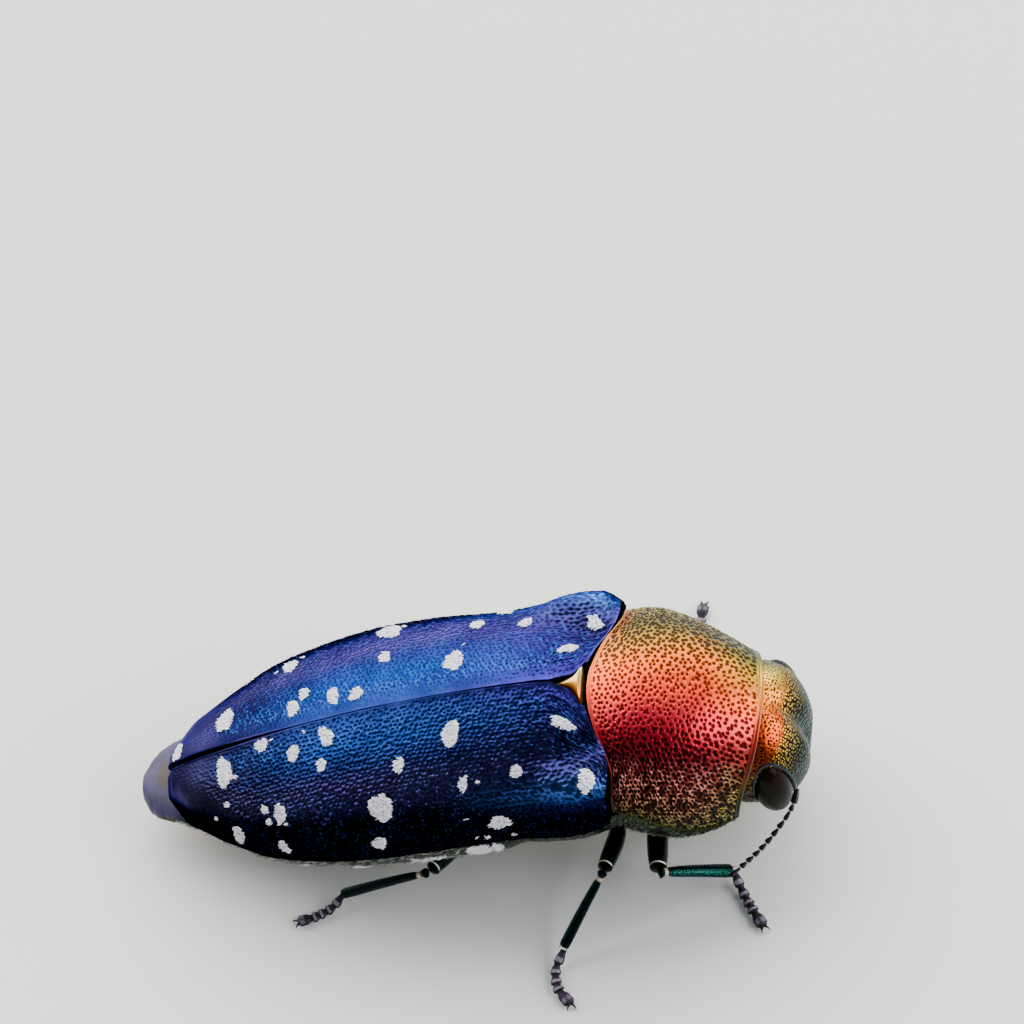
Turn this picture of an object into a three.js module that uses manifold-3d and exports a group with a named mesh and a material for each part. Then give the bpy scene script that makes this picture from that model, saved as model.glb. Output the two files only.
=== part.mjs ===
// Jewel beetle (a metallic wood-boring beetle), a standing life-size model 16 mm long.
// Millimetres. +X points to the head, +Y to the beetle's left, +Z up; the feet stand on Z = 0.
// The lengthwise stations below start at the joint between pronotum and wing cases, and the last
// lines move the whole beetle so that the middle of its floor rectangle is at the origin.
import * as THREE from "three";
import { mergeVertices } from "three/addons/utils/BufferGeometryUtils.js";
import Module from "manifold-3d";

const wasm = await Module();
wasm.setup();

// ---------------------------------------------------------------- driving dimensions, mm
const SEAM = 0.08; // open line between neighbouring plates
const BOX_MIDDLE = [-3.37, -0.69]; // x, y of the floor rectangle's middle
const THINNEST = 0.25; // least half thickness of a limb, so that every leg is 0.5 thick or more

const ELYTRA_BASE = -0.1; // front edge of the wing cases on the midline
const BELLY_BASE = -0.16;
const ELYTRA_APEX = -10.62;
const TAIL_TIP = -11.55;
const BASE_BOW = 0.5; // how far the shoulders reach forward of the midline
const BASE_BOW_FADE = 2.6;
const NECK_TURN = -2.5; // degrees: prothorax and head look a little to the right

// Hind body, each as [station x, value]: half width, edge height, rise of the wing cases above
// the edge, depth of the belly below it.
const halfWidth = profile([
  [-11.55, 0.3],
  [-11.2, 0.84],
  [-10.6, 1.16],
  [-9.9, 1.56],
  [-9.2, 2.0],
  [-8, 2.57],
  [-6.2, 2.95],
  [-4.4, 3.03],
  [-2.2, 2.93],
  [-0.8, 3.04],
  [0, 2.86],
]);
const edgeHeight = profile([
  [-11.55, 1.02],
  [-10.1, 1.5],
  [-8, 1.9],
  [-6, 2.3],
  [-4, 2.64],
  [-2, 2.84],
  [0, 3.3],
]);
const elytraRise = profile([
  [-10.62, 0.62],
  [-10.1, 0.8],
  [-9.2, 1.05],
  [-8, 1.38],
  [-6, 1.74],
  [-4, 1.97],
  [-2, 2.14],
  [-0.8, 1.96],
  [0, 1.5],
]);
const bellyDepth = profile([
  [-11.55, 0.34],
  [-10.4, 0.72],
  [-9, 1.04],
  [-7, 1.48],
  [-4.6, 1.95],
  [-2.5, 2.12],
  [0, 2.34],
]);

// Prothorax, each as [fraction from base to front, value].
const crownX = profile([
  [0, 0],
  [1, 4.02],
]);
const crownHeight = profile([
  [0, 4.82],
  [0.3, 5.0],
  [0.62, 4.8],
  [0.85, 4.38],
  [1, 3.98],
]);
const keelX = profile([
  [0, 0.5],
  [1, 3.2],
]);
const keelHalfWidth = profile([
  [0, 2.6],
  [0.3, 2.74],
  [0.55, 2.66],
  [0.8, 2.36],
  [1, 1.97],
]);
const keelHeight = profile([
  [0, 3.4],
  [0.3, 3.14],
  [0.55, 2.5],
  [0.8, 1.98],
  [1, 1.75],
]);
const chestX = profile([
  [0, 0.1],
  [1, 2.9],
]);
const chestHeight = profile([
  [0, 0.98],
  [0.5, 0.8],
  [1, 0.76],
]);

const CHEST_PROCESS = { root: 1.2, tip: -0.45, halfWidth: 0.46 };

// Cross seams of the belly, as x at a distance y from the midline.
const curvedSeam = (middle, side) => (y) => middle + (side - middle) * Math.min(y / 2.6, 1) ** 2;
const hindCoxaFront = curvedSeam(-2.5, -2.62);
const hindCoxaRear = (y) => -2.56 - 0.72 * THREE.MathUtils.smoothstep(y, 0, 0.75);
const ventriteSeams = [curvedSeam(-6.9, -6.6), curvedSeam(-8.35, -8.05), curvedSeam(-9.6, -9.3)];

// ---------------------------------------------------------------- helpers

// A smooth function through a few [x, value] stations, listed by rising x.
function profile(stations) {
  const last = stations.length - 1;
  const slope = (i) => {
    const a = stations[Math.max(i - 1, 0)];
    const b = stations[Math.min(i + 1, last)];
    return (b[1] - a[1]) / (b[0] - a[0]);
  };
  return (x) => {
    const inside = THREE.MathUtils.clamp(x, stations[0][0], stations[last][0]);
    let i = 0;
    while (i < last - 1 && inside > stations[i + 1][0]) i += 1;
    const span = stations[i + 1][0] - stations[i][0];
    const t = (inside - stations[i][0]) / span;
    const rise = stations[i + 1][1] - stations[i][1];
    const bend = slope(i) * span * t * (1 - t) ** 2 - slope(i + 1) * span * t ** 2 * (1 - t);
    return stations[i][1] + rise * t * t * (3 - 2 * t) + bend;
  };
}

// count + 1 evenly spaced numbers from a to b.
function steps(a, b, count) {
  return Array.from({ length: count + 1 }, (_, i) => a + ((b - a) * i) / count);
}

const point = (x, y, z) => new THREE.Vector3(x, y, z);

// A geometry as a closed manifold solid that faces out.
function solid(geometry) {
  const bare = geometry.clone();
  bare.deleteAttribute("normal");
  bare.deleteAttribute("uv");
  const merged = mergeVertices(bare, 1e-4);
  const triVerts = new Uint32Array(merged.index.array);
  const vertProperties = new Float32Array(merged.attributes.position.array);
  const made = new wasm.Manifold(new wasm.Mesh({ numProp: 3, vertProperties, triVerts }));
  if (made.volume() > 0) return made;
  for (let i = 0; i < triVerts.length; i += 3) {
    [triVerts[i + 1], triVerts[i + 2]] = [triVerts[i + 2], triVerts[i + 1]];
  }
  return new wasm.Manifold(new wasm.Mesh({ numProp: 3, vertProperties, triVerts }));
}

// The closed skin through a row of rings with equal numbers of points, capped at both ends.
function loft(rings) {
  const size = rings[0].length;
  const vertices = rings.flat();
  const index = [];
  for (let r = 0; r + 1 < rings.length; r += 1) {
    for (let k = 0; k < size; k += 1) {
      const a = r * size + k;
      const b = r * size + ((k + 1) % size);
      index.push(a, b, b + size, a, b + size, a + size);
    }
  }
  const cap = (start, flip) => {
    const centre = point(0, 0, 0);
    for (let k = 0; k < size; k += 1) centre.add(vertices[start + k]);
    vertices.push(centre.divideScalar(size));
    const hub = vertices.length - 1;
    for (let k = 0; k < size; k += 1) {
      const a = start + k;
      const b = start + ((k + 1) % size);
      if (flip) index.push(hub, b, a);
      else index.push(hub, a, b);
    }
  };
  cap(0, true);
  cap((rings.length - 1) * size, false);
  return solid(new THREE.BufferGeometry().setFromPoints(vertices).setIndex(index));
}

// Turns a piece of the prothorax or the head with the neck.
const turned = (piece) => piece.rotate([0, 0, NECK_TURN]);

// A point part of the way from a to b.
const along = (a, b, t) => a.clone().lerp(b, t);

// A number raised to a power, with its sign kept.
const power = (v, n) => Math.sign(v) * Math.abs(v) ** n;

// A unit sphere with each point moved by a function.
function blob(place, around, down) {
  const geometry = new THREE.SphereGeometry(1, around, down);
  geometry.rotateX(Math.PI / 2);
  const position = geometry.attributes.position;
  const p = point(0, 0, 0);
  for (let i = 0; i < position.count; i += 1) {
    place(p.fromBufferAttribute(position, i));
    position.setXYZ(i, p.x, p.y, p.z);
  }
  return solid(geometry);
}

// An ellipsoid about a centre, grown on all sides by a margin.
function ellipsoid(centre, radii, margin = 0, around = 9, down = 6) {
  const place = (p) => {
    p.multiply(point(radii.x + margin, radii.y + margin, radii.z + margin)).add(centre);
  };
  return blob(place, around, down);
}

// A limb segment: oval rings along a path, with [half breadth, half thickness] at even steps.
function limb(path, sizes, sides, margin = 0) {
  const curve = new THREE.CatmullRomCurve3(path, false, "centripetal");
  const up = point(0, 0, 1);
  const rings = steps(0, 1, sizes.length - 1).map((t, i) => {
    const forward = curve.getTangentAt(t);
    const across = forward.clone().cross(up).normalize();
    const over = across.clone().cross(forward).normalize();
    const stretch = t === 0 ? -margin : t === 1 ? margin : 0;
    const centre = curve.getPointAt(t).addScaledVector(forward, stretch);
    return steps(0, 2 * Math.PI, sides).slice(0, -1).map((angle) => {
      const reach = across.clone().multiplyScalar(Math.cos(angle) * (sizes[i][0] + margin));
      return reach.addScaledVector(over, Math.sin(angle) * (sizes[i][1] + margin)).add(centre);
    });
  });
  return loft(rings);
}

// A tall prism standing on an outline drawn in the floor plane.
function prism(outline, low = -3, high = 9) {
  const shape = new THREE.Shape(outline.map(([x, y]) => new THREE.Vector2(x, y)));
  const geometry = new THREE.ExtrudeGeometry(shape, { depth: high - low, bevelEnabled: false, steps: 1 });
  return solid(geometry.translate(0, 0, low));
}

const group = new THREE.Group();
const built = new Map();

function metal(color, roughness = 0.3, metalness = 0.9) {
  return new THREE.MeshStandardMaterial({ color, roughness, metalness });
}

// Keeps a finished solid under its name with its material.
function keep(name, piece, material) {
  built.set(name, { piece, material });
}

// ---------------------------------------------------------------- hind body

// How far forward the shoulders pull a lengthwise station, and a point at a distance from the
// midline on it.
const shoulder = (x) => BASE_BOW * THREE.MathUtils.smoothstep(x, -BASE_BOW_FADE, 0);
const bow = (x, y) => shoulder(x) * THREE.MathUtils.smoothstep(y, 0.35, 1.8);

const SQUARENESS = 2.15; // power of the oval section of the wing cases
const BELLY_SQUARENESS = 2.7;
const EDGE_OVERHANG = 0.06; // how far a back plate's edge overhangs the plate below it
const TAIL_LIFT = 0.24; // how far the bare tail stands above the edge level
const SUTURE_DIP = 0.07; // the wing cases sink a little along their meeting line
const DIP_WIDTH = 0.4;
const APEX_ROUND = 0.5; // length over which the end of a wing case is rounded off

// One wing case: a quarter oval above the edge, filled down to the edge level.
function elytron(side) {
  const stations = [
    ...steps(ELYTRA_BASE, -1.1, 3),
    ...steps(-1.8, -8.2, 8),
    ...steps(-8.8, -10.1, 3),
    -10.4,
    ELYTRA_APEX,
  ];
  const rings = stations.map((x) => {
    const apexRound = THREE.MathUtils.clamp((x - ELYTRA_APEX) / APEX_ROUND, 0.05, 1) ** 0.5;
    const w = (halfWidth(x) - SEAM / 2) * apexRound;
    const floorZ = edgeHeight(x) + SEAM / 2;
    const rise = elytraRise(x);
    const ring = steps(0, Math.PI / 2, 9).map((a) => {
      const y = SEAM / 2 + w * Math.sin(a) ** (2 / SQUARENESS);
      const dip = SUTURE_DIP * Math.exp(-((y / DIP_WIDTH) ** 2));
      const z = floorZ + rise * Math.cos(a) ** (2 / SQUARENESS) - dip;
      return point(x + bow(x, y), side * y, Math.max(z, floorZ + 0.02));
    });
    for (const y of [w * 0.5, SEAM / 2]) {
      ring.push(point(x + bow(x, y), side * y, floorZ));
    }
    return ring;
  });
  return loft(rings);
}

// The whole underside of the hind body, later cut into its plates.
function undersideOfHindBody(front) {
  const stations = [...steps(front, -2.4, 5), ...steps(-3.2, -10, 9), -10.6, -10.75, -11.2, TAIL_TIP];
  const rings = stations.map((x) => {
    const w = halfWidth(x) - EDGE_OVERHANG;
    const topZ = edgeHeight(x) - SEAM / 2;
    const depth = bellyDepth(x);
    const lift = x < ELYTRA_APEX ? TAIL_LIFT : 0;
    const ring = steps(-Math.PI / 2, Math.PI / 2, 14).map((a) => {
      const y = w * power(Math.sin(a), 2 / BELLY_SQUARENESS);
      const drop = power(Math.cos(a), 2 / BELLY_SQUARENESS);
      return point(x + shoulder(x) * (1 - drop), y, topZ - depth * drop);
    });
    for (const y of [w / 2, 0, -w / 2]) {
      ring.push(point(x + shoulder(x), y, topZ + lift));
    }
    return ring;
  });
  return loft(rings);
}

// Outline between two cross seams, from side to side or over one half only. All outlines share
// the same row of points across, so that neighbours keep an even gap.
function between(front, rear, from = -4, to = 4) {
  const ys = steps(-3.9, 3.9, 26).filter((y) => y > from && y < to);
  const lead = ys.map((y) => [front(Math.abs(y)) - SEAM / 2, y]);
  const trail = ys.map((y) => [rear(Math.abs(y)) + SEAM / 2, y]);
  return [...lead, ...trail.reverse()];
}

// ---------------------------------------------------------------- prothorax

const PRONOTUM_SQUARENESS = 2.05;
const BASE_WAVE = 6; // how abruptly the base and the front edge leave the keel
const FRONT_WAVE = 1.3;

// The back plate's arch: its base is wavy, straight across and then back at the corners, and
// its front edge leans forward evenly from the keel to the crown.
function pronotum() {
  const rings = steps(0, 1, 11).map((u) => {
    const w = keelHalfWidth(u);
    const edge = keelHeight(u) + SEAM / 2;
    const lean = crownX(u) - keelX(u);
    const rise = crownHeight(u) - keelHeight(u);
    const ring = steps(-Math.PI / 2, Math.PI / 2, 16).map((a) => {
      const lift = power(Math.cos(a), 2 / PRONOTUM_SQUARENESS);
      const y = w * power(Math.sin(a), 2 / PRONOTUM_SQUARENESS);
      return point(keelX(u) + lean * lift ** (BASE_WAVE * (1 - u) + FRONT_WAVE * u), y, edge + rise * lift);
    });
    for (const y of [w / 2, 0, -w / 2]) ring.push(point(keelX(u), y, edge));
    return ring;
  });
  return turned(loft(rings));
}

// The chest plate below the keels.
function prosternum() {
  const rings = steps(0, 1, 8).map((u) => {
    const w = keelHalfWidth(u) - EDGE_OVERHANG;
    const edge = keelHeight(u) - SEAM / 2;
    const depth = edge - chestHeight(u);
    const ring = steps(-Math.PI / 2, Math.PI / 2, 14).map((a) => {
      const drop = power(Math.cos(a), 2 / BELLY_SQUARENESS);
      const y = w * power(Math.sin(a), 2 / BELLY_SQUARENESS);
      return point(keelX(u) + (chestX(u) - keelX(u)) * drop, y, edge - depth * drop);
    });
    for (const y of [w / 2, 0, -w / 2]) ring.push(point(keelX(u), y, edge));
    return ring;
  });
  return turned(loft(rings));
}

// Outline of the tongue of the chest plate that runs back between the hips, round at its tip.
function processOutline(margin) {
  const { root, tip, halfWidth: half } = CHEST_PROCESS;
  const arc = steps(-Math.PI / 2, Math.PI / 2, 8).map((a) => [
    tip + half - (half + margin) * Math.cos(a),
    (half + margin) * Math.sin(a),
  ]);
  return [[root, half + margin], [root, -half - margin], ...arc];
}

// ---------------------------------------------------------------- head

const HEAD = {
  centre: point(3.55, 0, 2.25),
  face: 1.28, // reach forward of the centre
  nape: 0.9, // reach back of it
  halfWidth: 1.66,
  halfHeight: 1.6,
  chinTaper: 0.2,
  groove: 0.1, // depth of the furrow down the face
  grooveWidth: 0.32,
};

// A blunt rounded box with a flat, furrowed face.
function headShape() {
  const place = (p) => {
    const front = Math.max(p.x, 0);
    const low = Math.max(-p.z, 0);
    const y = HEAD.halfWidth * power(p.y, 0.86) * (1 - HEAD.chinTaper * low ** 2);
    const z = HEAD.halfHeight * power(p.z, 0.9);
    const furrow = HEAD.groove * Math.exp(-((y / HEAD.grooveWidth) ** 2)) * front;
    const reach = (p.x > 0 ? HEAD.face : HEAD.nape) * power(p.x, 0.72);
    p.set(reach - furrow - 0.1 * power(p.z, 0.9) * front, y, z).add(HEAD.centre);
  };
  return turned(blob(place, 17, 11));
}

const EYE_CENTRE = point(4.02, 1.34, 1.98);
const EYE_RADII = point(0.44, 0.42, 0.84);

function eye(side, margin = 0) {
  const centre = EYE_CENTRE.clone();
  centre.y *= side;
  return turned(ellipsoid(centre, EYE_RADII, margin, 10, 8));
}

// Antenna: a stout first joint, then a saw-toothed run of beads laid back along the cheek.
const ANTENNA_ROUTE = {
  right: [point(4.48, -1.0, 1.3), point(4.3, -1.5, 1.1), point(3.68, -2.3, 0.86), point(2.9, -3.1, 0.84)],
  left: [point(4.5, 0.7, 1.3), point(4.3, 1.2, 1.0), point(3.66, 1.8, 0.8), point(2.95, 2.3, 0.72)],
};
const ANTENNA_JOINTS = 11;

function antenna(route) {
  const sizes = steps(0, ANTENNA_JOINTS, ANTENNA_JOINTS).map((joint) => {
    const tooth = joint % 2;
    return [THINNEST + 0.04 * tooth, THINNEST + 0.02 * tooth];
  });
  return limb(route, sizes, 7);
}

// ---------------------------------------------------------------- legs

const TARSUS_JOINTS = 5;
const TARSUS_AXIS_HEIGHT = 0.19; // below the half thickness, so that the soles are flat
const HIP_SIZE = point(0.42, 0.42, 0.42);
const LEGS = {
  fore_right: {
    hip: point(1.0, -0.95, 0.9),
    knee: point(1.17, -3.3, 1.47),
    ankle: point(2.78, -2.84, 0.42),
    toe: point(3.47, -4.2, 0),
    coxa: HIP_SIZE,
  },
  mid_right: {
    hip: point(0.02, -1.22, 0.88),
    knee: point(-0.06, -3.36, 1.82),
    ankle: point(-1.26, -4.62, 0.42),
    toe: point(-1.09, -5.95, 0),
    coxa: HIP_SIZE,
    bow: point(0.1, 0, 0.05),
  },
  hind_right: {
    hip: point(-2.95, -0.95, 0.62),
    knee: point(-4.28, -3.1, 1.75),
    ankle: point(-6.7, -2.88, 0.42),
    toe: point(-7.8, -3.4, 0),
  },
  fore_left: {
    hip: point(1.0, 0.95, 0.9),
    knee: point(0.6, 3.2, 1.6),
    ankle: point(1.6, 3.25, 0.42),
    toe: point(1.87, 4.55, 0),
    coxa: HIP_SIZE,
  },
  mid_left: {
    hip: point(0.02, 1.22, 0.88),
    knee: point(-0.5, 3.4, 1.65),
    ankle: point(-1.5, 3.2, 0.42),
    toe: point(-1.55, 4.4, 0),
    coxa: HIP_SIZE,
  },
  hind_left: {
    hip: point(-2.95, 0.95, 0.62),
    knee: point(-4.5, 2.95, 1.5),
    ankle: point(-6.55, 2.7, 0.42),
    toe: point(-7.5, 3.2, 0),
  },
};

function legSolids(leg) {
  const neck = along(leg.hip, leg.knee, 0.16);
  const thighEnd = along(leg.hip, leg.knee, 0.95);
  const shinStart = along(leg.knee, leg.ankle, 0.07);
  const shinEnd = along(leg.knee, leg.ankle, 0.93);
  const footStart = point(leg.ankle.x, leg.ankle.y, TARSUS_AXIS_HEIGHT + 0.04);
  const footEnd = point(leg.toe.x, leg.toe.y, TARSUS_AXIS_HEIGHT);
  const thigh = (margin) => {
    const middle = along(neck, thighEnd, 0.5).add(leg.bow ?? point(0, 0, 0.05));
    const sizes = [[THINNEST, THINNEST], [0.34, 0.33], [0.36, 0.34], [0.31, 0.29], [THINNEST, THINNEST]];
    return limb([neck, middle, thighEnd], sizes, 7, margin);
  };
  const shin = (margin) => {
    const sizes = Array(3).fill([THINNEST, THINNEST]);
    return limb([shinStart, along(shinStart, shinEnd, 0.5), shinEnd], sizes, 7, margin);
  };
  const foot = () => {
    const sizes = Array(TARSUS_JOINTS).fill([[0.24, THINNEST], [0.31, 0.27]]).flat();
    const whole = limb([footStart, along(footStart, footEnd, 0.5), footEnd], sizes, 6);
    return whole.subtract(belowFloor);
  };
  return { thigh, shin, foot };
}

const belowFloor = solid(new THREE.BoxGeometry(40, 40, 4).translate(0, 0, -2));

// ---------------------------------------------------------------- assembly

const violet = metal(0x2b3566, 0.34);
const coppery = metal(0xb8503a, 0.32);
const goldGreen = metal(0x8a8a3c, 0.34);
const darkLeg = metal(0x14302c, 0.36);
const blackish = metal(0x1a1520, 0.45, 0.5);
const eyeBrown = metal(0x2c2a14, 0.22, 0.2);

const chest = prosternum();
const back = pronotum();
const lowerBody = undersideOfHindBody(BELLY_BASE);

// Legs. The hips sit in sockets and the thighs lie in shallow grooves of the underside.
const hollows = [];
for (const [name, leg] of Object.entries(LEGS)) {
  const { thigh, shin, foot } = legSolids(leg);
  const hip = leg.coxa && ellipsoid(leg.hip, leg.coxa);
  hollows.push(thigh(SEAM));
  if (hip) {
    const socket = ellipsoid(leg.hip, leg.coxa, SEAM);
    hollows.push(socket);
    keep("coxa_" + name, hip, darkLeg);
    keep("femur_" + name, thigh(0).subtract(socket), darkLeg);
  } else {
    keep("femur_" + name, thigh(0), darkLeg);
  }
  keep("tibia_" + name, shin(0).subtract(thigh(SEAM)), darkLeg);
  keep("tarsus_" + name, foot().subtract(shin(SEAM)), blackish);
}
const withHollows = (piece) => hollows.reduce((rest, hollow) => rest.subtract(hollow), piece);

// Chest plate with its tongue, whose underside carries on the hind body's own curve.
const TONGUE_TOP = 1.5;
const tongue = undersideOfHindBody(0.9).intersect(prism(processOutline(0), -1, TONGUE_TOP));
keep("prosternum", withHollows(chest.add(tongue)), goldGreen);
keep("pronotum", back, coppery);

const plates = {
  metaventrite: between(() => 1, hindCoxaFront),
  hind_coxa_left: between(hindCoxaFront, hindCoxaRear, 0.2, 4),
  hind_coxa_right: between(hindCoxaFront, hindCoxaRear, -4, -0.2),
  ventrite_1_2: between(hindCoxaRear, ventriteSeams[0]),
  ventrite_3: between(ventriteSeams[0], ventriteSeams[1]),
  ventrite_4: between(ventriteSeams[1], ventriteSeams[2]),
  ventrite_5: between(ventriteSeams[2], () => TAIL_TIP - 1),
};
for (const [name, outline] of Object.entries(plates)) {
  let plate = lowerBody.intersect(prism(outline));
  if (name === "metaventrite") plate = plate.subtract(prism(processOutline(SEAM)));
  keep(name, withHollows(plate), goldGreen);
}

// Scutellum: a small heart-shaped shield set into the front of the wing cases, a gentle roof
// that rises to its tip.
const SHIELD = { halfWidth: 0.55, length: 0.72, floor: 4.2, edge: 4.98, ridge: 5.06, slope: 0.1 };

function shieldOutline(margin) {
  const front = ELYTRA_BASE + 0.02;
  const halfAt = (back) => (SHIELD.halfWidth + margin) * (1 - back / SHIELD.length) ** 1.4;
  const left = steps(0, SHIELD.length, 4).map((back) => [front - back * (1 + margin), halfAt(back)]);
  const right = left.slice(0, -1).reverse().map(([x, y]) => [x, -y]);
  const lead = [[front + margin, -halfAt(0)], [front + margin, halfAt(0)]];
  return [...lead, ...left.slice(1), ...right.slice(0, -1)];
}

const shieldRoof = loft(
  steps(-1, 0, 4).map((x) => {
    const z = -SHIELD.slope * (1 + x);
    return [
      point(x, -1, SHIELD.floor),
      point(x, 1, SHIELD.floor),
      point(x, 1, SHIELD.edge + z),
      point(x, 0, SHIELD.ridge + z),
      point(x, -1, SHIELD.edge + z),
    ];
  }),
);
keep("scutellum", shieldRoof.intersect(prism(shieldOutline(0))), coppery);
const shieldGap = prism(shieldOutline(SEAM / 2), SHIELD.floor - SEAM);
const baseGap = back.translate(-SEAM, 0, 0).add(shieldGap);
keep("elytron_left", elytron(1).subtract(baseGap), violet);
keep("elytron_right", elytron(-1).subtract(baseGap), violet);

// Head, set into the front of the prothorax.
const collar = chest.add(back).add(back.translate(0, 0, -2 * SEAM)).translate(SEAM, 0, 0);
const antennaRight = antenna(ANTENNA_ROUTE.right);
const antennaLeft = antenna(ANTENNA_ROUTE.left);
const LIP = { centre: point(4.42, 0, 1.02), size: point(0.3, 0.55, 0.27) };
const JAW = { centre: point(4.0, 0.42, 0.82), size: point(0.42, 0.3, 0.26) };
const CHIN = { centre: point(3.3, 0, 0.78), size: point(0.3, 0.6, 0.25) };
const mirrored = ({ centre, size }) => ({ centre: point(centre.x, -centre.y, centre.z), size });
const mouth = { labrum: LIP, mandible_left: JAW, mandible_right: mirrored(JAW), mentum: CHIN };
const mouthRooms = [];
for (const [name, { centre, size }] of Object.entries(mouth)) {
  const piece = mouthRooms.reduce((rest, room) => rest.subtract(room), ellipsoid(centre, size));
  mouthRooms.push(ellipsoid(centre, size, SEAM));
  keep(name, piece.subtract(collar), blackish);
}
const headRooms = [collar, eye(1, SEAM), eye(-1, SEAM), ...mouthRooms, antennaLeft, antennaRight];
const skull = headRooms.reduce((rest, room) => rest.subtract(room), headShape());
keep("head", skull, coppery);
keep("eye_left", eye(1).subtract(collar).subtract(antennaLeft), eyeBrown);
keep("eye_right", eye(-1).subtract(collar).subtract(antennaRight), eyeBrown);
keep("antenna_left", antennaLeft, blackish);
keep("antenna_right", antennaRight, blackish);

for (const [name, { piece, material }] of built) {
  const { vertProperties, triVerts } = piece.getMesh();
  const geometry = new THREE.BufferGeometry()
    .setAttribute("position", new THREE.BufferAttribute(new Float32Array(vertProperties), 3))
    .setIndex(new THREE.BufferAttribute(new Uint32Array(triVerts), 1));
  const mesh = new THREE.Mesh(geometry, material);
  mesh.name = name;
  group.add(mesh);
}
group.position.set(-BOX_MIDDLE[0], -BOX_MIDDLE[1], 0);

export default group;
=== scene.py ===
import math

import bpy
import numpy as np
from mathutils import Matrix, Vector


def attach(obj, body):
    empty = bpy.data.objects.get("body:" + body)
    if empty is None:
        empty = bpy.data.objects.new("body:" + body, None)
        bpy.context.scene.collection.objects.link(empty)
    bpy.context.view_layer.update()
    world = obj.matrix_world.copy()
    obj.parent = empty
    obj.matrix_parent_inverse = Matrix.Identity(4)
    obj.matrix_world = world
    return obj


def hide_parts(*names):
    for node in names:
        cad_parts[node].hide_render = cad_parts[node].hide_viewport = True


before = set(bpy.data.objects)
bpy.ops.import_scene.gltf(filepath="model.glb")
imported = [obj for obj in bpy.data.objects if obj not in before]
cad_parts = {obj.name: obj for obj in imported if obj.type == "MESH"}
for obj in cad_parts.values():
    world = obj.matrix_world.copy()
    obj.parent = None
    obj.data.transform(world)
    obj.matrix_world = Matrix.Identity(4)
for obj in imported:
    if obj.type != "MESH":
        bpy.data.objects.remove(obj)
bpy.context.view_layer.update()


# ------------------------------------------------------------------ the pair of wing cases
# The hard front wings, which lie closed over the hind body and meet in a straight line. They are
# sheets of chitin, blue to violet by interference, pressed all over with small round pits. A low
# bead runs along the meeting line, and the shoulders stand up on both sides of a shallow hollow.

MM = 0.001
# Every place below is in millimetres from the joint of pronotum and wing cases, on the middle
# line, at floor level, and this is where the middle of the frame's floor rectangle lies from there.
BOX_MIDDLE = np.array([-3.37, -0.69, 0.0])
ELYTRA_BASE = -0.05
ELYTRA_APEX = -10.84
NECK_TURN = math.radians(-2.5)
BASE_BOW = 0.5
BASE_BOW_FADE = 2.6
SQUARENESS = 2.15
SUTURE_ROOF = 0.07
APEX_TAPER = 0.36
APEX_ROUND = 0.2
HIND_ANGLE = 0.12
HIND_ANGLE_PLACE = 2.05
HIND_ANGLE_WIDTH = 0.5
PIT_PITCH = 0.118
CALLUS_HEIGHT = 0.24
DIP_DEPTH = 0.2


def profile(*stations):
    """A smooth function through (place, value) stations: a cubic between each two, whose slope at
    a station is that of the straight line between its neighbours."""
    places, values = np.array(stations, float).T
    last = len(places) - 1
    before = np.maximum(np.arange(last + 1) - 1, 0)
    after = np.minimum(np.arange(last + 1) + 1, last)
    slopes = (values[after] - values[before]) / (places[after] - places[before])

    def value_at(place):
        inside = np.clip(place, places[0], places[-1])
        i = np.clip(np.searchsorted(places, inside, side="right") - 1, 0, last - 1)
        span = places[i + 1] - places[i]
        t = (inside - places[i]) / span
        bend = slopes[i] * span * t * (1 - t) ** 2 - slopes[i + 1] * span * t**2 * (1 - t)
        return values[i] + (values[i + 1] - values[i]) * t * t * (3 - 2 * t) + bend

    return value_at


def smoothstep(value, low, high):
    """0 below low, 1 above high, and 3t^2 - 2t^3 between them."""
    t = np.clip((value - low) / (high - low), 0, 1)
    return t * t * (3 - 2 * t)


def bump(value, centre, width):
    """A bell curve of height 1: exp(-((value - centre) / width)^2)."""
    return np.exp(-(((value - centre) / width) ** 2))


def power(value, exponent):
    """The value's size raised to the exponent, with the value's sign."""
    return np.sign(value) * np.abs(value) ** exponent


def grid_points(x, y, z):
    """The points of a grid from their three coordinates, each given for rows, columns or both."""
    return np.stack(np.broadcast_arrays(x, y, z), -1)


half_width = profile(
    (-11.55, 0.42), (-11.3, 0.84), (-10.9, 1.08), (-10.55, 1.2), (-9.9, 1.56), (-9.2, 2.0), (-8, 2.57),
    (-6.2, 2.95), (-4.4, 3.03), (-2.2, 2.93), (-0.8, 3.04), (0, 2.86),
)
edge_height = profile((-11.55, 1.02), (-10.1, 1.5), (-8, 1.9), (-6, 2.3), (-4, 2.64), (-2, 2.84), (0, 3.3))
elytra_rise = profile(
    (-10.62, 0.62), (-10.1, 0.8), (-9.2, 1.05), (-8, 1.38), (-6, 1.74), (-4, 1.97), (-2, 2.14),
    (-0.8, 1.96), (0, 1.5),
)


def across_lengths(patch):
    """Arc length from the first column of a grid of points, along each row."""
    step = np.linalg.norm(np.diff(patch, axis=1), axis=2)
    return np.pad(np.cumsum(step, axis=1), ((0, 0), (1, 0)))


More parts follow.
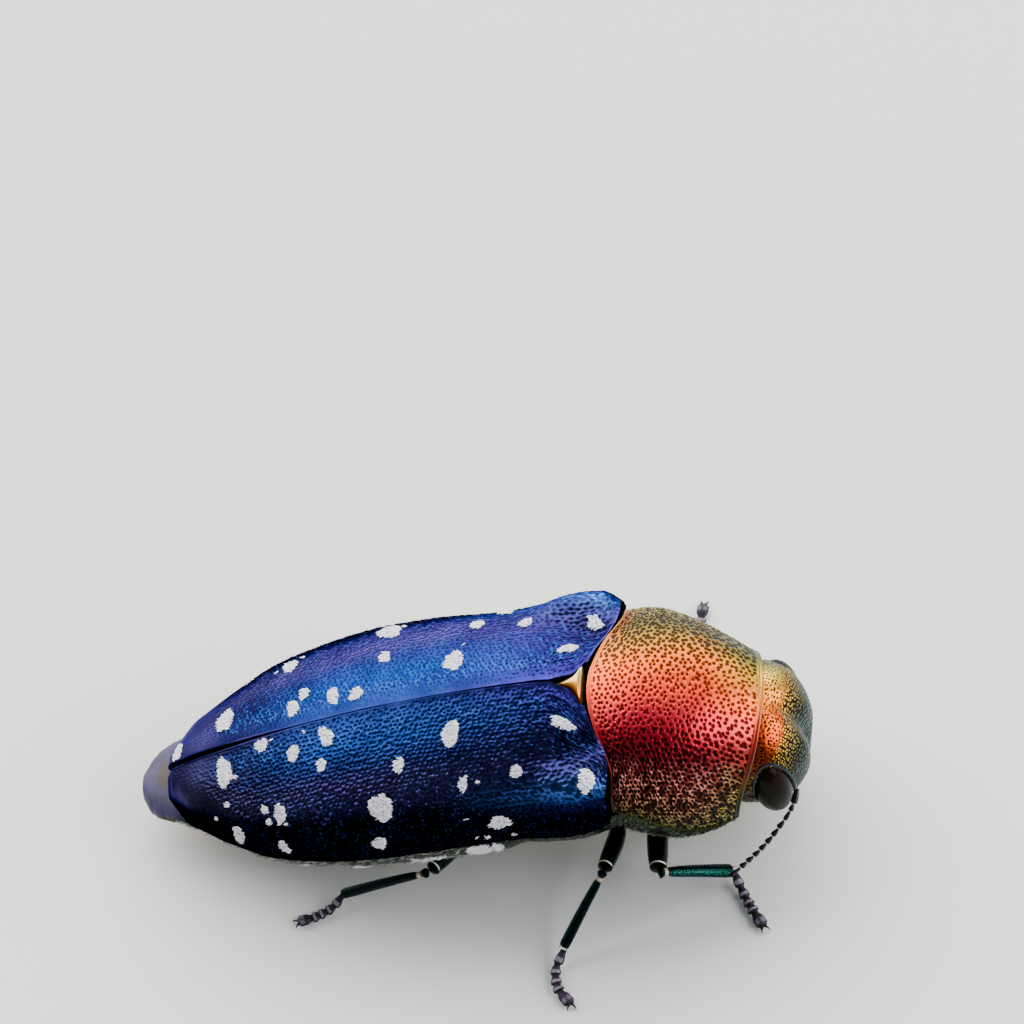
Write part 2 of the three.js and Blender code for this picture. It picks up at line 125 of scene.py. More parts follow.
def nearest_pit(s, t, pitch, seed, jitter=0.3):
    """For each point (s, t) the distance to the nearest pit, how much further off the next pit
    is, which is 0 on the wall between them, and a random number from 0 to 1 that belongs to the
    nearest. The pits are a triangular lattice of the given pitch, each moved at random by up to
    jitter of the pitch."""
    rng = np.random.default_rng(seed)
    moves = rng.uniform(-jitter, jitter, (128, 128, 2))
    fates = rng.uniform(0, 1, (128, 128))
    row_height = pitch * math.sqrt(0.75)
    row = np.floor(t / row_height).astype(int)
    nearest, second, fate = np.full(s.shape, 1e3), np.full(s.shape, 1e3), np.zeros(s.shape)
    for up in (-1, 0, 1):
        r = row + up
        stagger = 0.5 * (r % 2)
        column = np.floor(s / pitch - stagger).astype(int)
        for along in (-1, 0, 1):
            c = column + along
            move = moves[c % 128, r % 128]
            pit_s = (c + 0.5 + stagger + move[..., 0]) * pitch
            pit_t = (r + 0.5 + move[..., 1]) * row_height
            distance = np.hypot(s - pit_s, t - pit_t)
            fate = np.where(distance < nearest, fates[c % 128, r % 128], fate)
            second = np.minimum(second, np.maximum(distance, nearest))
            nearest = np.minimum(nearest, distance)
    return nearest, second - nearest, fate


def dimple(gap, radius, edge):
    """1 at the middle of a pit and 0 from its radius outwards: smoothstep of 1 - gap / radius, full
    at the given edge."""
    return smoothstep(1 - gap / radius, 0, edge)


def undulation(s, t, size, seed):
    """Smooth random waves from -1 to 1: random numbers on a square lattice of the given size, with
    smoothstep blending between them."""
    heights = np.random.default_rng(seed).uniform(-1, 1, (64, 64))
    column, row = np.floor(s / size).astype(int), np.floor(t / size).astype(int)
    a, b = smoothstep(s / size - column, 0, 1), smoothstep(t / size - row, 0, 1)
    near = heights[column % 64, row % 64] * (1 - a) + heights[(column + 1) % 64, row % 64] * a
    far = heights[column % 64, (row + 1) % 64] * (1 - a) + heights[(column + 1) % 64, (row + 1) % 64] * a
    return near * (1 - b) + far * b


def raised(patch, height):
    """A grid of points, each moved outwards along the grid's own normal by its height. The normal
    is the cross product of the grid's two directions, turned away from the grid's middle."""
    normal = np.cross(np.gradient(patch, axis=0), np.gradient(patch, axis=1))
    normal /= np.linalg.norm(normal, axis=2, keepdims=True) + 1e-12
    outward = np.sign(np.sum(normal * (patch - patch.mean((0, 1)))))
    return patch + outward * normal * height[..., None]


def joined_rings(name, groups, sharp=40):
    """One closed mesh from groups of (rings, values): rings is a grid of points whose rows are
    closed loops, joined to each other and capped at both ends by a fan round the loop's mean, and
    values holds one number for each point under each attribute name."""
    points, corners, starts, values = [], [], [], {}
    base, corner_base = 0, 0
    for rings, numbers in groups:
        rows, around = rings.shape[:2]
        index = np.arange(rows * around).reshape(rows, around)
        following = np.roll(index, -1, axis=1)
        quads = np.stack([index[:-1], following[:-1], following[1:], index[1:]], -1).reshape(-1, 4)
        hub = rows * around
        start_fan = np.stack([np.full(around, hub), following[0], index[0]], -1)
        end_fan = np.stack([np.full(around, hub + 1), index[-1], following[-1]], -1)
        hubs = np.stack([rings[0].mean(0), rings[-1].mean(0)])
        own = np.concatenate([rings.reshape(-1, 3), hubs])
        fans = np.concatenate([start_fan, end_fan])
        a, b, c, d = (own[quads[:, k]] for k in range(4))
        volume = np.sum(np.cross(a, b) * c) + np.sum(np.cross(a, c) * d)
        if volume < 0:
            quads, fans = quads[:, ::-1], fans[:, ::-1]
        points.append(own)
        corners += [quads.ravel() + base, fans.ravel() + base]
        starts += [corner_base + 4 * np.arange(len(quads))]
        corner_base += quads.size
        starts += [corner_base + 3 * np.arange(len(fans))]
        corner_base += fans.size
        base += len(own)
        for key, grid in numbers.items():
            flat = np.broadcast_to(grid, (rows, around)).ravel()
            values.setdefault(key, []).append(np.concatenate([flat, [flat[0], flat[-1]]]))
    return mesh_object(name, np.concatenate(points), corners, starts, values, sharp)


def mesh_object(name, points, corners, starts, values, sharp):
    """An object in the frame from points in millimetres, the corners of its faces in one run, the
    place where each face starts in that run, and float attributes."""
    mesh = bpy.data.meshes.new(name)
    corners, starts = np.concatenate(corners), np.concatenate(starts)
    mesh.vertices.add(len(points))
    mesh.vertices.foreach_set("co", ((points - BOX_MIDDLE) * MM).astype(np.float32).ravel())
    mesh.loops.add(len(corners))
    mesh.loops.foreach_set("vertex_index", corners.astype(np.int32))
    mesh.polygons.add(len(starts))
    mesh.polygons.foreach_set("loop_start", starts.astype(np.int32))
    mesh.update(calc_edges=True)
    mesh.polygons.foreach_set("use_smooth", np.ones(len(starts), bool))
    mesh.set_sharp_from_angle(angle=math.radians(sharp))
    for key, parts in values.items():
        attribute = mesh.attributes.new(key, "FLOAT", "POINT")
        attribute.data.foreach_set("value", np.concatenate(parts).astype(np.float32))
    obj = bpy.data.objects.new(name, mesh)
    bpy.context.scene.collection.objects.link(obj)
    return obj


def dress(piece, material, slot, *nodes):
    """The piece gets its material, rides on the one body and stands for its CAD nodes, if it has any. The
    slot is not used."""
    piece.data.materials.append(material)
    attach(piece, "root")
    if nodes:
        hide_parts(*nodes)


SHIELD_FRONT = -0.12
shield_half = profile((-0.78, 0.0), (-0.55, 0.07), (-0.34, 0.17), (-0.22, 0.32), (-0.12, 0.5), (0.0, 0.52))


def shield_room(x):
    """Half the opening that the wing cases leave at their base for the scutellum."""
    return (shield_half(x) + 0.03) * smoothstep(x, -0.86, -0.7)


def corner_bend(y):
    """How far forward the joint of pronotum and wing cases bends at a distance y from the middle
    line, inside the pronotum's hind corners: a bell curve."""
    return HIND_ANGLE * bump(np.abs(y), HIND_ANGLE_PLACE, HIND_ANGLE_WIDTH)


def shoulder(x, y):
    """How far a point of the wing cases at a distance y from the middle line is pulled forward
    where the base of the pronotum bows over it."""
    bow = BASE_BOW * smoothstep(y, 0.35, 1.8) + corner_bend(y)
    return bow * smoothstep(x, -BASE_BOW_FADE, 0)


def elytron(side):
    """A quarter oval over the half width and the rise at each station x, closed below at the edge
    level: y = w sin(a)^(2/n) and z = edge + rise cos(a)^(2/n). The shoulders bow forward, and the
    base turns with the neck. Pits, grains and beads, the swelling on the shoulder and the hollow
    beside it are heights along the normal."""
    x = np.linspace(ELYTRA_APEX, ELYTRA_BASE, 480)[:, None]
    a = np.linspace(0, math.pi / 2, 196)[None, :]
    end = np.sqrt(np.clip((x - ELYTRA_APEX) / APEX_ROUND, 0.03, 1))
    taper = 1 - APEX_TAPER * smoothstep(-x, 10.05, 10.9) ** 1.3
    w = half_width(x) * taper * (0.86 + 0.14 * end)
    gap = 0.012 + 0.06 * smoothstep(-x, 6.5, 10.4) + 0.1 * smoothstep(-x, 10.55, 10.9) + shield_room(x)
    gap = gap + 0.015 * smoothstep(x, -3.6, -1.6)
    gap = np.minimum(gap, w * 0.4)
    y = gap + (w - gap) * np.sin(a) ** (2 / SQUARENESS)
    rise = elytra_rise(x) * (0.3 + 0.7 * end)
    z = edge_height(x) + rise * np.cos(a) ** (2 / SQUARENESS) + SUTURE_ROOF * np.exp(-y / 0.5)
    turn = -side * y * math.tan(NECK_TURN) * smoothstep(x, -1.4, 0)
    patch = grid_points(x + shoulder(x, y) + turn, side * y, z)
    across = across_lengths(patch)
    width = across[:, -1:]
    share = across / width
    along = np.broadcast_to(x, across.shape)
    flank = smoothstep(share, 0.32, 0.62)
    plain = 1 - 0.85 * smoothstep(-x, 8.2, 10.2)
    gap_to_pit, to_wall, fate = nearest_pit(along, across, PIT_PITCH, 11 + side)
    pit = dimple(gap_to_pit, 0.038 + 0.014 * fate + 0.016 * flank, 0.6)
    waves = undulation(along * 1.4, across, 0.075, 61 + side)
    broken = smoothstep(waves, -0.3 + 0.3 * flank, 0.5 + 0.2 * flank)
    # grain raises the walls between the pits, and the finish also paints them lighter as painted glints.
    grain = (1 - smoothstep(to_wall, 0.005, 0.05)) * broken * smoothstep(share, 0.04, 0.14)
    base_bead = bump(x, ELYTRA_BASE, 0.05) * (1 - smoothstep(share, 0.45, 0.7))
    upper_bead = np.clip(bump(across, 0.018, 0.014) + base_bead, 0, 1)
    bead = np.clip(upper_bead + bump(width - across, 0.04, 0.026), 0, 1)
    pit = pit * plain * (1 - bead) * smoothstep(across, 0.04, 0.1)
    grain = grain * plain * (1 - bead)
    front = smoothstep(x, -3.8, -0.8)
    rugged = undulation(along * 0.8, across * 1.5, 0.15, 5 + side) * front
    height = 0.012 * bead - 0.016 * pit + (0.008 + 0.006 * flank) * grain + 0.010 * rugged
    callus = smoothstep(x, -2.0, -0.9) * (1 - smoothstep(x, -0.4, 0.0))
    height = height + CALLUS_HEIGHT * callus * bump(y, 2.5 + 0.24 * (x + 0.5), 0.32)
    dip = bump(x, -0.5, 0.7) * bump(y, 1.48 - 0.35 * (x + 0.5), 0.38)
    height = height - DIP_DEPTH * dip
    height = height + 0.012 * undulation(along, across, 0.9, 3 + side)
    outer = raised(patch, height)
    ends = w[:, 0] * 0.66, w[:, 0] * 0.33, gap[:, 0]
    under = [np.stack([x[:, 0] + shoulder(x[:, 0], v), side * v, edge_height(x)[:, 0]], -1) for v in ends]
    rings = np.concatenate([outer, np.stack(under, 1)], 1)
    pad = ((0, 0), (0, len(under)))
    values = {
        "pit": np.pad(pit, pad),
        "grain": np.pad(grain, pad),
        "share": np.pad(share, pad, constant_values=1),
        "along": np.pad(np.broadcast_to((x - ELYTRA_APEX) / -ELYTRA_APEX, share.shape), pad, mode="edge"),
        "rim": np.pad(upper_bead * np.ones_like(share), pad),
        # dip marks where the hollow is painted dark as painted shade: 0.9 on the right wing case, 0.3 on the
        # left.
        "dip": np.pad((0.6 - 0.3 * side) * smoothstep(dip, 0.25, 0.75) * (1 - bead), pad),
    }
    return rings, values, outer


def colour(code):
    """A colour written as six hex digits, as the linear numbers that sockets take."""
    channels = np.array([int(code[i:i + 2], 16) for i in (0, 2, 4)]) / 255
    linear = np.where(channels <= 0.04045, channels / 12.92, ((channels + 0.055) / 1.055) ** 2.4)
    return (*linear, 1.0)


class Finish:
    """A node material being wired: each method adds a node and returns its output socket."""

    def __init__(self, name, roughness, metallic, specular=0.5):
        self.material = bpy.data.materials.new(name)
        self.material.use_nodes = True
        self.nodes = self.material.node_tree.nodes
        self.links = self.material.node_tree.links
        self.shader = self.nodes["Principled BSDF"]
        given = {"Roughness": roughness, "Metallic": metallic, "Specular IOR Level": specular}
        for socket, number in given.items():
            self.shader.inputs[socket].default_value = number

    def value(self, name):
        """A float attribute of the piece."""
        node = self.nodes.new("ShaderNodeAttribute")
        node.attribute_name = name
        return node.outputs["Fac"]

    def ramp(self, source, *stops):
        """Colours along a value: stops are (place, hex colour)."""
        node = self.nodes.new("ShaderNodeValToRGB")
        ramp = node.color_ramp
        while len(ramp.elements) < len(stops):
            ramp.elements.new(1.0)
        for element, (place, code) in zip(ramp.elements, stops):
            element.position = place
            element.color = colour(code)
        self.links.new(source, node.inputs["Fac"])
        return node.outputs["Color"]

    def mix(self, share, first, second, way="MIX"):
        """Two colours mixed; either may be a hex colour, and the share a number or a socket."""
        node = self.nodes.new("ShaderNodeMix")
        node.data_type = "RGBA"
        node.blend_type = way
        for slot, given in ((0, share), (6, first), (7, second)):
            if isinstance(given, str):
                node.inputs[slot].default_value = colour(given)
            elif isinstance(given, (int, float)):
                node.inputs[slot].default_value = given
            else:
                self.links.new(given, node.inputs[slot])
        return node.outputs[2]

    def cover(self, body, name, low, high, share, coat):
        """The body's colour under a coat whose share grows from 0 to the given one while a float
        attribute goes from low to high."""
        return self.mix(self.map(self.value(name), low, high, 0, share), body, coat)

    def map(self, source, low, high, to_low=0.0, to_high=1.0):
        """A value carried from one range to another, and held at its ends."""
        node = self.nodes.new("ShaderNodeMapRange")
        for slot, number in zip(("From Min", "From Max", "To Min", "To Max"), (low, high, to_low, to_high)):
            node.inputs[slot].default_value = number
        self.links.new(source, node.inputs["Value"])
        return node.outputs["Result"]

    def noise(self, per_mm, detail=2.0):
        """Noise on the object's own coordinates, with so many waves to the millimetre."""
        place = self.nodes.new("ShaderNodeTexCoord")
        node = self.nodes.new("ShaderNodeTexNoise")
        node.inputs["Scale"].default_value = per_mm / MM
        node.inputs["Detail"].default_value = detail
        self.links.new(place.outputs["Object"], node.inputs["Vector"])
        return node.outputs["Fac"]

    def relief(self, source, height_mm, strength=1.0):
        """Bumps of a height in millimetres from a value."""
        node = self.nodes.new("ShaderNodeBump")
        node.inputs["Distance"].default_value = height_mm * MM
        node.inputs["Strength"].default_value = strength
        self.links.new(source, node.inputs["Height"])
        self.links.new(node.outputs["Normal"], self.shader.inputs["Normal"])

    def paint(self, source, socket="Base Color"):
        """The source drives one socket of the shader."""
        self.links.new(source, self.shader.inputs[socket])
        return self.material


def elytra_finish():
    """Blue near the meeting line, violet at the base and half-way down the side, dull violet at the end. The
    side itself is painted nearly black as painted shade, and the walls between the pits are painted lighter,
    most of all on the side, as painted glints; a brighter blue band at the shoulders is a painted highlight.
    The pits are painted dark as painted shade in them, the hollow beside the shoulder is painted dark as
    painted shade, more on the right wing case than the left, and the beads are violet."""
    finish = Finish("elytra_interference_blue", 0.3, 1.0)
    share, along = finish.value("share"), finish.value("along")
    # All four ramps fall to near black at the side: painted shade.
    middle = finish.ramp(
        share, (0.0, "222e66"), (0.07, "1c3268"), (0.22, "143474"), (0.35, "202a62"),
        (0.48, "443a70"), (0.6, "38366e"), (0.68, "070717"), (0.74, "020206"),
    )
    # The brighter blue at 0.66 of the base ramp is a painted highlight on the shoulders.
    base = finish.ramp(
        share, (0.0, "34287a"), (0.14, "241d5c"), (0.3, "2e2258"), (0.46, "382e6c"),
        (0.56, "3c4480"), (0.66, "3c66b8"), (0.73, "141f48"), (0.82, "03030c"),
    )
    end = finish.ramp(
        share, (0.0, "18152e"), (0.2, "151834"), (0.36, "1e1a34"), (0.5, "36324e"), (0.62, "2e2c46"),
        (0.7, "030306"),
    )
    body = finish.mix(finish.map(along, 0.66, 0.95), middle, base)
    tip = finish.ramp(
        share, (0.0, "231f3d"), (0.2, "2d2a4b"), (0.36, "343155"), (0.5, "3a3854"), (0.62, "2e2c44"),
        (0.7, "030306"),
    )
    body = finish.mix(finish.map(along, 0.4, 0.22), body, end)
    body = finish.mix(finish.map(along, 0.16, 0.09), body, tip)
    clouds = finish.ramp(finish.noise(1.3), (0.35, "4c4860"), (0.68, "ffffff"))
    body = finish.mix(0.5, body, clouds, "MULTIPLY")
    body = finish.cover(body, "rim", 0.2, 0.9, 0.6, "403a8a")
    # The hollow beside the shoulder painted near black: painted shade, stronger on the right wing case.
    body = finish.mix(finish.value("dip"), body, "02020c")
    # Pits painted dark blue to black: painted shade in them.
    hollow = finish.ramp(share, (0.0, "0e2460"), (0.3, "081038"), (0.52, "0c1034"), (0.66, "01010c"))
    body = finish.cover(body, "pit", 0.1, 0.7, 0.62, hollow)
    # Walls between the pits painted lighter: painted glints.
    wall = finish.ramp(
        share, (0.0, "3a529f"), (0.2, "1c4478"), (0.35, "1e3468"), (0.5, "2a3468"), (0.7, "242c5a"),
        (1.0, "13182f"),
    )
    body = finish.cover(body, "grain", 0.1, 0.7, 0.7, wall)
    finish.paint(finish.ramp(share, (0.6, "b4b0ec"), (0.8, "28284c")), "Specular Tint")
    finish.relief(finish.noise(28, 1.0), 0.003, 0.5)
    return finish.paint(body)


elytra_blue = elytra_finish()
elytra_patches = {}
for side_name, side in (("left", 1), ("right", -1)):
    rings, values, elytra_patches[side_name] = elytron(side)
    wing_case = joined_rings(f"wing_case_{side_name}", [(rings, values)])
    dress(wing_case, elytra_blue, "elytra_blue", f"elytron_{side_name}")


# ------------------------------------------------------------------ scutellum
# The small golden shield between the bases of the wing cases: a smooth bar across the front that
# runs back into a slender point. It is one hard plate, let into the hollow where they meet.

SHIELD_POINT = -0.775
SHIELD_HEIGHT = 4.93
SHIELD_THICKNESS = 0.5


def scutellum():
    """A roof over the outline: height falls with the square of the distance from the middle line,
    and from the front to the point; the underside is flat."""
    x = np.linspace(SHIELD_POINT, SHIELD_FRONT, 60)[:, None]
    v = np.linspace(-1, 1, 41)[None, :]
    half = np.maximum(shield_half(x), 0.004)
    crown = SHIELD_HEIGHT + 0.05 * smoothstep(x, -0.8, -0.3) - 0.07 * smoothstep(x, -0.2, SHIELD_FRONT)
    z = crown + 0.05 * (1 - v**2) * smoothstep(x, -0.8, -0.4) - 0.05 * np.abs(v) ** 6
    outer = grid_points(x, half * v, z)
    under = grid_points(x, half * v[:, ::-8], crown - SHIELD_THICKNESS)
    share = np.pad(np.broadcast_to(v, z.shape), ((0, 0), (0, under.shape[1])))
    return np.concatenate([outer, under], 1), {"share": share}


def scutellum_finish():
    """Pale gold on one side running to orange on the other, polished, with faint scratches."""
    finish = Finish("scutellum_gold", 0.26, 0.8)
    gold = finish.ramp(
        finish.map(finish.value("share"), -1, 1), (0.0, "cb5c18"), (0.35, "d99132"), (0.7, "ddbc65"),
        (1.0, "d2cf91"),
    )
    finish.relief(finish.noise(20), 0.004, 0.5)
    return finish.paint(gold)


shield = joined_rings("scutellum_shield", [scutellum()])
dress(shield, scutellum_finish(), "scutellum_gold", "scutellum")


# ------------------------------------------------------------------ white hair spots
# Spots of short white scale-hairs on the wing cases. Each hair is a flat pointed leaf, rooted in
# the surface, lying back over the next ones, so that the spots have finely toothed edges.

# Spots as (x, share of the way from suture to margin, length, breadth, slant), in mm and degrees.
# The first list is on the right wing case and the second on the left.
SPOTS = {
    "right": [
        (-9.13, 0.18, 0.48, 0.74, -6), (-8.82, 0.22, 0.14, 0.12, 0), (-8.13, 0.045, 0.36, 0.36, 0),
        (-7.84, 0.03, 0.1, 0.1, 0), (-6.98, 0.04, 0.09, 0.09, 0), (-7.26, 0.14, 0.3, 0.46, 0),
        (-6.4, 0.085, 0.3, 0.62, -32), (-6.51, 0.235, 0.28, 0.36, 0), (-4.53, 0.315, 0.32, 0.37, 0),
        (-3.22, 0.2, 0.48, 0.7, 0), (-2.96, 0.49, 0.24, 0.4, 12), (-2.59, 0.495, 0.12, 0.07, 0),
        (-1.79, 0.455, 0.34, 0.34, 10), (-0.68, 0.195, 0.6, 0.32, 0), (-0.48, 0.53, 0.44, 0.56, -10),
        (-5.02, 0.55, 0.68, 0.7, 0), (-5.19, 0.815, 0.37, 0.38, 0), (-2.99, 0.735, 0.12, 0.08, 0),
        (-2.25, 0.8, 0.54, 0.44, 0), (-2.6, 0.925, 0.17, 0.14, 0), (-2.86, 0.91, 0.1, 0.1, 0),
        (-2.01, 0.93, 0.15, 0.1, 0), (-7.64, 0.515, 0.34, 0.6, 8), (-8.05, 0.477, 0.22, 0.23, 0),
        (-7.94, 0.57, 0.16, 0.19, 0), (-7.52, 0.59, 0.12, 0.12, 0), (-8.81, 0.757, 0.34, 0.48, -12),
        (-7.63, 0.81, 0.24, 0.48, -25), (-9.06, 0.455, 0.18, 0.13, 0), (-9.39, 0.63, 0.13, 0.11, 0),
    ],
    "left": [
        (-10.5, 0.16, 0.28, 0.56, 0), (-9.2, 0.225, 0.48, 0.68, 0), (-7.58, 0.5, 0.47, 0.48, 8),
        (-7.31, 0.57, 0.1, 0.14, 0), (-7.95, 0.49, 0.11, 0.14, 0), (-7.06, 0.183, 0.28, 0.42, 15),
        (-7.33, 0.107, 0.34, 0.5, 15), (-6.27, 0.112, 0.36, 0.52, 10), (-5.66, 0.09, 0.38, 0.38, 15),
        (-5.04, 0.56, 0.64, 0.7, 12), (-4.68, 0.6, 0.1, 0.14, 0), (-5.02, 0.294, 0.3, 0.4, 15),
        (-3.22, 0.18, 0.52, 0.58, 0), (-2.76, 0.468, 0.38, 0.42, 15), (-3.0, 0.293, 0.07, 0.08, 0),
        (-2.22, 0.635, 0.4, 0.42, 0), (-1.71, 0.41, 0.38, 0.3, 30), (-0.45, 0.365, 0.5, 0.28, -40),
        (-0.6, 0.16, 0.44, 0.34, 0), (-8.81, 0.757, 0.34, 0.48, 12), (-7.63, 0.81, 0.24, 0.48, 25),
        (-5.19, 0.815, 0.37, 0.38, 0), (-2.25, 0.85, 0.5, 0.4, 0),
    ],
}

# One hair: two rings of four points between a root and a tip, as (along, across, up) shares.
HAIR_POINTS = np.array([
    (0, 0, -0.2), (0.35, -0.5, 0), (0.35, 0, 0.5), (0.35, 0.5, 0), (0.35, 0, -0.3),
    (0.78, -0.34, 0.3), (0.78, 0, 0.7), (0.78, 0.34, 0.3), (0.78, 0, 0), (1, 0, 0.35),
])
HAIR_FACES = np.array([
    (0, 1, 2), (0, 2, 3), (0, 3, 4), (0, 4, 1),
    (1, 6, 2), (1, 5, 6), (2, 7, 3), (2, 6, 7), (3, 8, 4), (3, 7, 8), (4, 5, 1), (4, 8, 5),
    (5, 9, 6), (6, 9, 7), (7, 9, 8), (8, 9, 5),
])
TUFT_PATCH = 0.003
HAIR_THICKNESS = 0.012


def on_patch(patch, row, column):
    """Points of a grid at fractional rows and columns, with the unit directions of its rows and
    columns and its normal there, all from the four points around each."""
    r = np.clip(row, 0, patch.shape[0] - 1.001)
    c = np.clip(column, 0, patch.shape[1] - 1.001)
    i, j = r.astype(int), c.astype(int)
    p, q = (r - i)[:, None], (c - j)[:, None]
    corner, right_of, ahead, beyond = patch[i, j], patch[i, j + 1], patch[i + 1, j], patch[i + 1, j + 1]
    place = (corner * (1 - q) + right_of * q) * (1 - p) + (ahead * (1 - q) + beyond * q) * p
    forward = unit(ahead + beyond - corner - right_of)
    normal = unit(np.cross(forward, right_of + beyond - corner - ahead))
    return place, forward, normal


def unit(vectors):
    """Vectors scaled to length 1."""
    return vectors / (np.linalg.norm(vectors, axis=-1, keepdims=True) + 1e-12)


def hairs(name, roots, lie, normal, length, breadth, thickness, places, seed):
    """One mesh of leaf-shaped hairs: each is the one hair's points stretched to its own length
    along the lie, breadth across it and thickness along the normal. In the map named OFBake each
    hair is a small patch at its root's place, given as shares of the skin's unwrap."""
    count = len(roots)
    across = unit(np.cross(normal, lie))
    tilt = np.random.default_rng(seed).uniform(0.0, 0.3, count)[:, None]
    along = unit(lie + normal * tilt)
    shape = HAIR_POINTS[None]
    points = (
        roots[:, None]
        + shape[..., 0:1] * length[:, None, None] * along[:, None]
        + shape[..., 1:2] * breadth[:, None, None] * across[:, None]
        + shape[..., 2:3] * thickness * normal[:, None]
    )
    size = len(HAIR_POINTS)
    faces = HAIR_FACES[None] + size * np.arange(count)[:, None, None]
    corners = faces.ravel()
    shade = np.random.default_rng(seed + 1).uniform(0, 1, count).repeat(size)
    starts = 3 * np.arange(len(corners) // 3)
    piece = mesh_object(name, points.reshape(-1, 3), [corners], [starts], {"shade": [shade]}, 60)
    patch = places[:, None] + (HAIR_POINTS[None, :, :2] - (0.5, 0.0)) * TUFT_PATCH
    layer = piece.data.uv_layers.new(name="OFBake")
    layer.data.foreach_set("uv", patch.reshape(-1, 2)[corners].astype(np.float32).ravel())
    return piece


def ellipse_roots(patch, row, column, size, slant, waves, trim, ragged, pitch, rng):
    """Rows and columns of hair roots round one place of a grid: a square lattice of the pitch, its
    points moved at random, kept inside a turned ellipse of the size (length, breadth). The radius
    wavers with sine waves, given as (count, height), less the trim, times a random ragged share."""
    length, breadth = size
    i, j = int(row), min(int(column), patch.shape[1] - 2)
    row_step = np.linalg.norm(patch[i + 1, j] - patch[i, j])
    column_step = np.linalg.norm(patch[i, j + 1] - patch[i, j])
    reach = 0.65 * max(size)
    grid = np.arange(-reach, reach, pitch)
    u, v = (g.ravel() + rng.uniform(-0.4, 0.4, g.size) * pitch for g in np.meshgrid(grid, grid))
    c, d = math.cos(math.radians(slant)), math.sin(math.radians(slant))
    p, q = (u * c + v * d) / length, (v * c - u * d) / breadth
    angle = np.arctan2(q, p)
    waver = 1 + sum(k * np.sin(n * angle + rng.uniform(0, 6)) for n, k in waves)
    inside = np.hypot(p, q) * 2 < (waver - trim / max(size)) * rng.uniform(*ragged, u.size)
    return np.stack([row + (u / row_step)[inside], column + (v / column_step)[inside]], 1)


def inside_grid(patch, roots):
    """Those of several lists of rows and columns that fall well inside a grid, as one list."""
    roots = np.concatenate(roots)
    last = np.array(patch.shape[:2]) - 2
    return roots[((roots > 1) & (roots < last)).all(1)]


def spot_roots(patch, spots, seed):
    """Rows and columns of the hair roots of a wing case's spots."""
    rng = np.random.default_rng(seed)
    rows, columns = patch.shape[0] - 1, patch.shape[1] - 1
    roots = []
    for x, share, length, breadth, slant in spots:
        row = (x - ELYTRA_APEX) / (ELYTRA_BASE - ELYTRA_APEX) * rows
        waves = (2, 0.07), (3, 0.08), (5, 0.06)
        place = patch, row, share * columns, (length, breadth), slant
        roots.append(ellipse_roots(*place, waves, 0.03, (0.9, 1.04), HAIR_PITCH, rng))
    return inside_grid(patch, roots)


def hair_finish():
    """White keratin, a little violet in some hairs, dull with a silky sheen."""
    finish = Finish("scale_hair_white", 0.6, 0.0, 0.2)
    white = finish.ramp(finish.value("shade"), (0.0, "dcd8e8"), (0.3, "f4f2fa"), (1.0, "ffffff"))
    return finish.paint(finish.mix(finish.map(finish.noise(30), 0.35, 0.7, 0, 0.1), white, "b4b0c8"))


def coat(name, patch, roots, backward, length, breadth, spread, seed):
    """Hairs at rows and columns of a grid, lying along its rows and fanned out to both sides by up
    to the spread, each slid back by a third of its length so that it lies over its own root."""
    rng = np.random.default_rng(seed)
    place, forward, normal = on_patch(patch, roots[:, 0], roots[:, 1])
    normal = normal * np.sign(np.sum(normal * (place - patch.mean((0, 1)))))
    swing = rng.uniform(-spread, spread, len(roots))[:, None]
    lie = unit(backward * forward + swing * np.cross(normal, forward))
    lengths = length * rng.uniform(0.75, 1.15, len(roots))
    breadths = breadth * rng.uniform(0.8, 1.25, len(roots))
    lift = normal * rng.uniform(0.004, 0.02, len(roots))[:, None]
    unwrap = roots / (patch.shape[0] - 1, patch.shape[1] - 1) * 0.96 + 0.02
    roots_at = place + lift - lie * lengths[:, None] * 0.35
    return hairs(name, roots_at, lie, normal, lengths, breadths, HAIR_THICKNESS, unwrap, seed + 1)


hair_white = hair_finish()
HAIR_LENGTH = 0.1
HAIR_BREADTH = 0.036
HAIR_PITCH = 0.033
for side_name, patch in elytra_patches.items():
    roots = spot_roots(patch, SPOTS[side_name], 21)
    spots = coat(f"hair_spots_{side_name}", patch, roots, -1, HAIR_LENGTH, HAIR_BREADTH, 0.9, 41)
    dress(spots, hair_white, "setae_white")


# ------------------------------------------------------------------ pronotum
# The copper-red shield over the front of the body, one hard arched plate. Round pits stand close on its top
# and run together on the flanks, where only grains are left between them; the grains are painted bright as
# painted glints. A smooth rim runs round its base, its front and the keel along each side.

PRONOTUM_SQUARENESS = 2.05
BASE_WAVE = 6.0
FRONT_WAVE = 1.3
KEEL_LENGTH = 4.0
PRONOTUM_PIT_PITCH = 0.133
NECK_INSET = 0.93
NECK_DEPTH = 0.16
crown_x = profile((0, 0), (1, 4.02))
crown_height = profile((0, 4.82), (0.3, 5.0), (0.62, 4.8), (0.85, 4.38), (1, 3.98))
keel_x = profile((0, 0.5), (1, 3.2))
keel_half_width = profile((0, 2.6), (0.3, 2.74), (0.55, 2.66), (0.8, 2.36), (1, 1.97))
keel_height = profile((0, 3.4), (0.3, 3.14), (0.55, 2.5), (0.8, 1.98), (1, 1.75))


def turned(points):
    """Points turned with the neck about the upright line through the joint's middle."""
    c, s = math.cos(NECK_TURN), math.sin(NECK_TURN)
    return points @ np.array([(c, s, 0), (-s, c, 0), (0, 0, 1)])


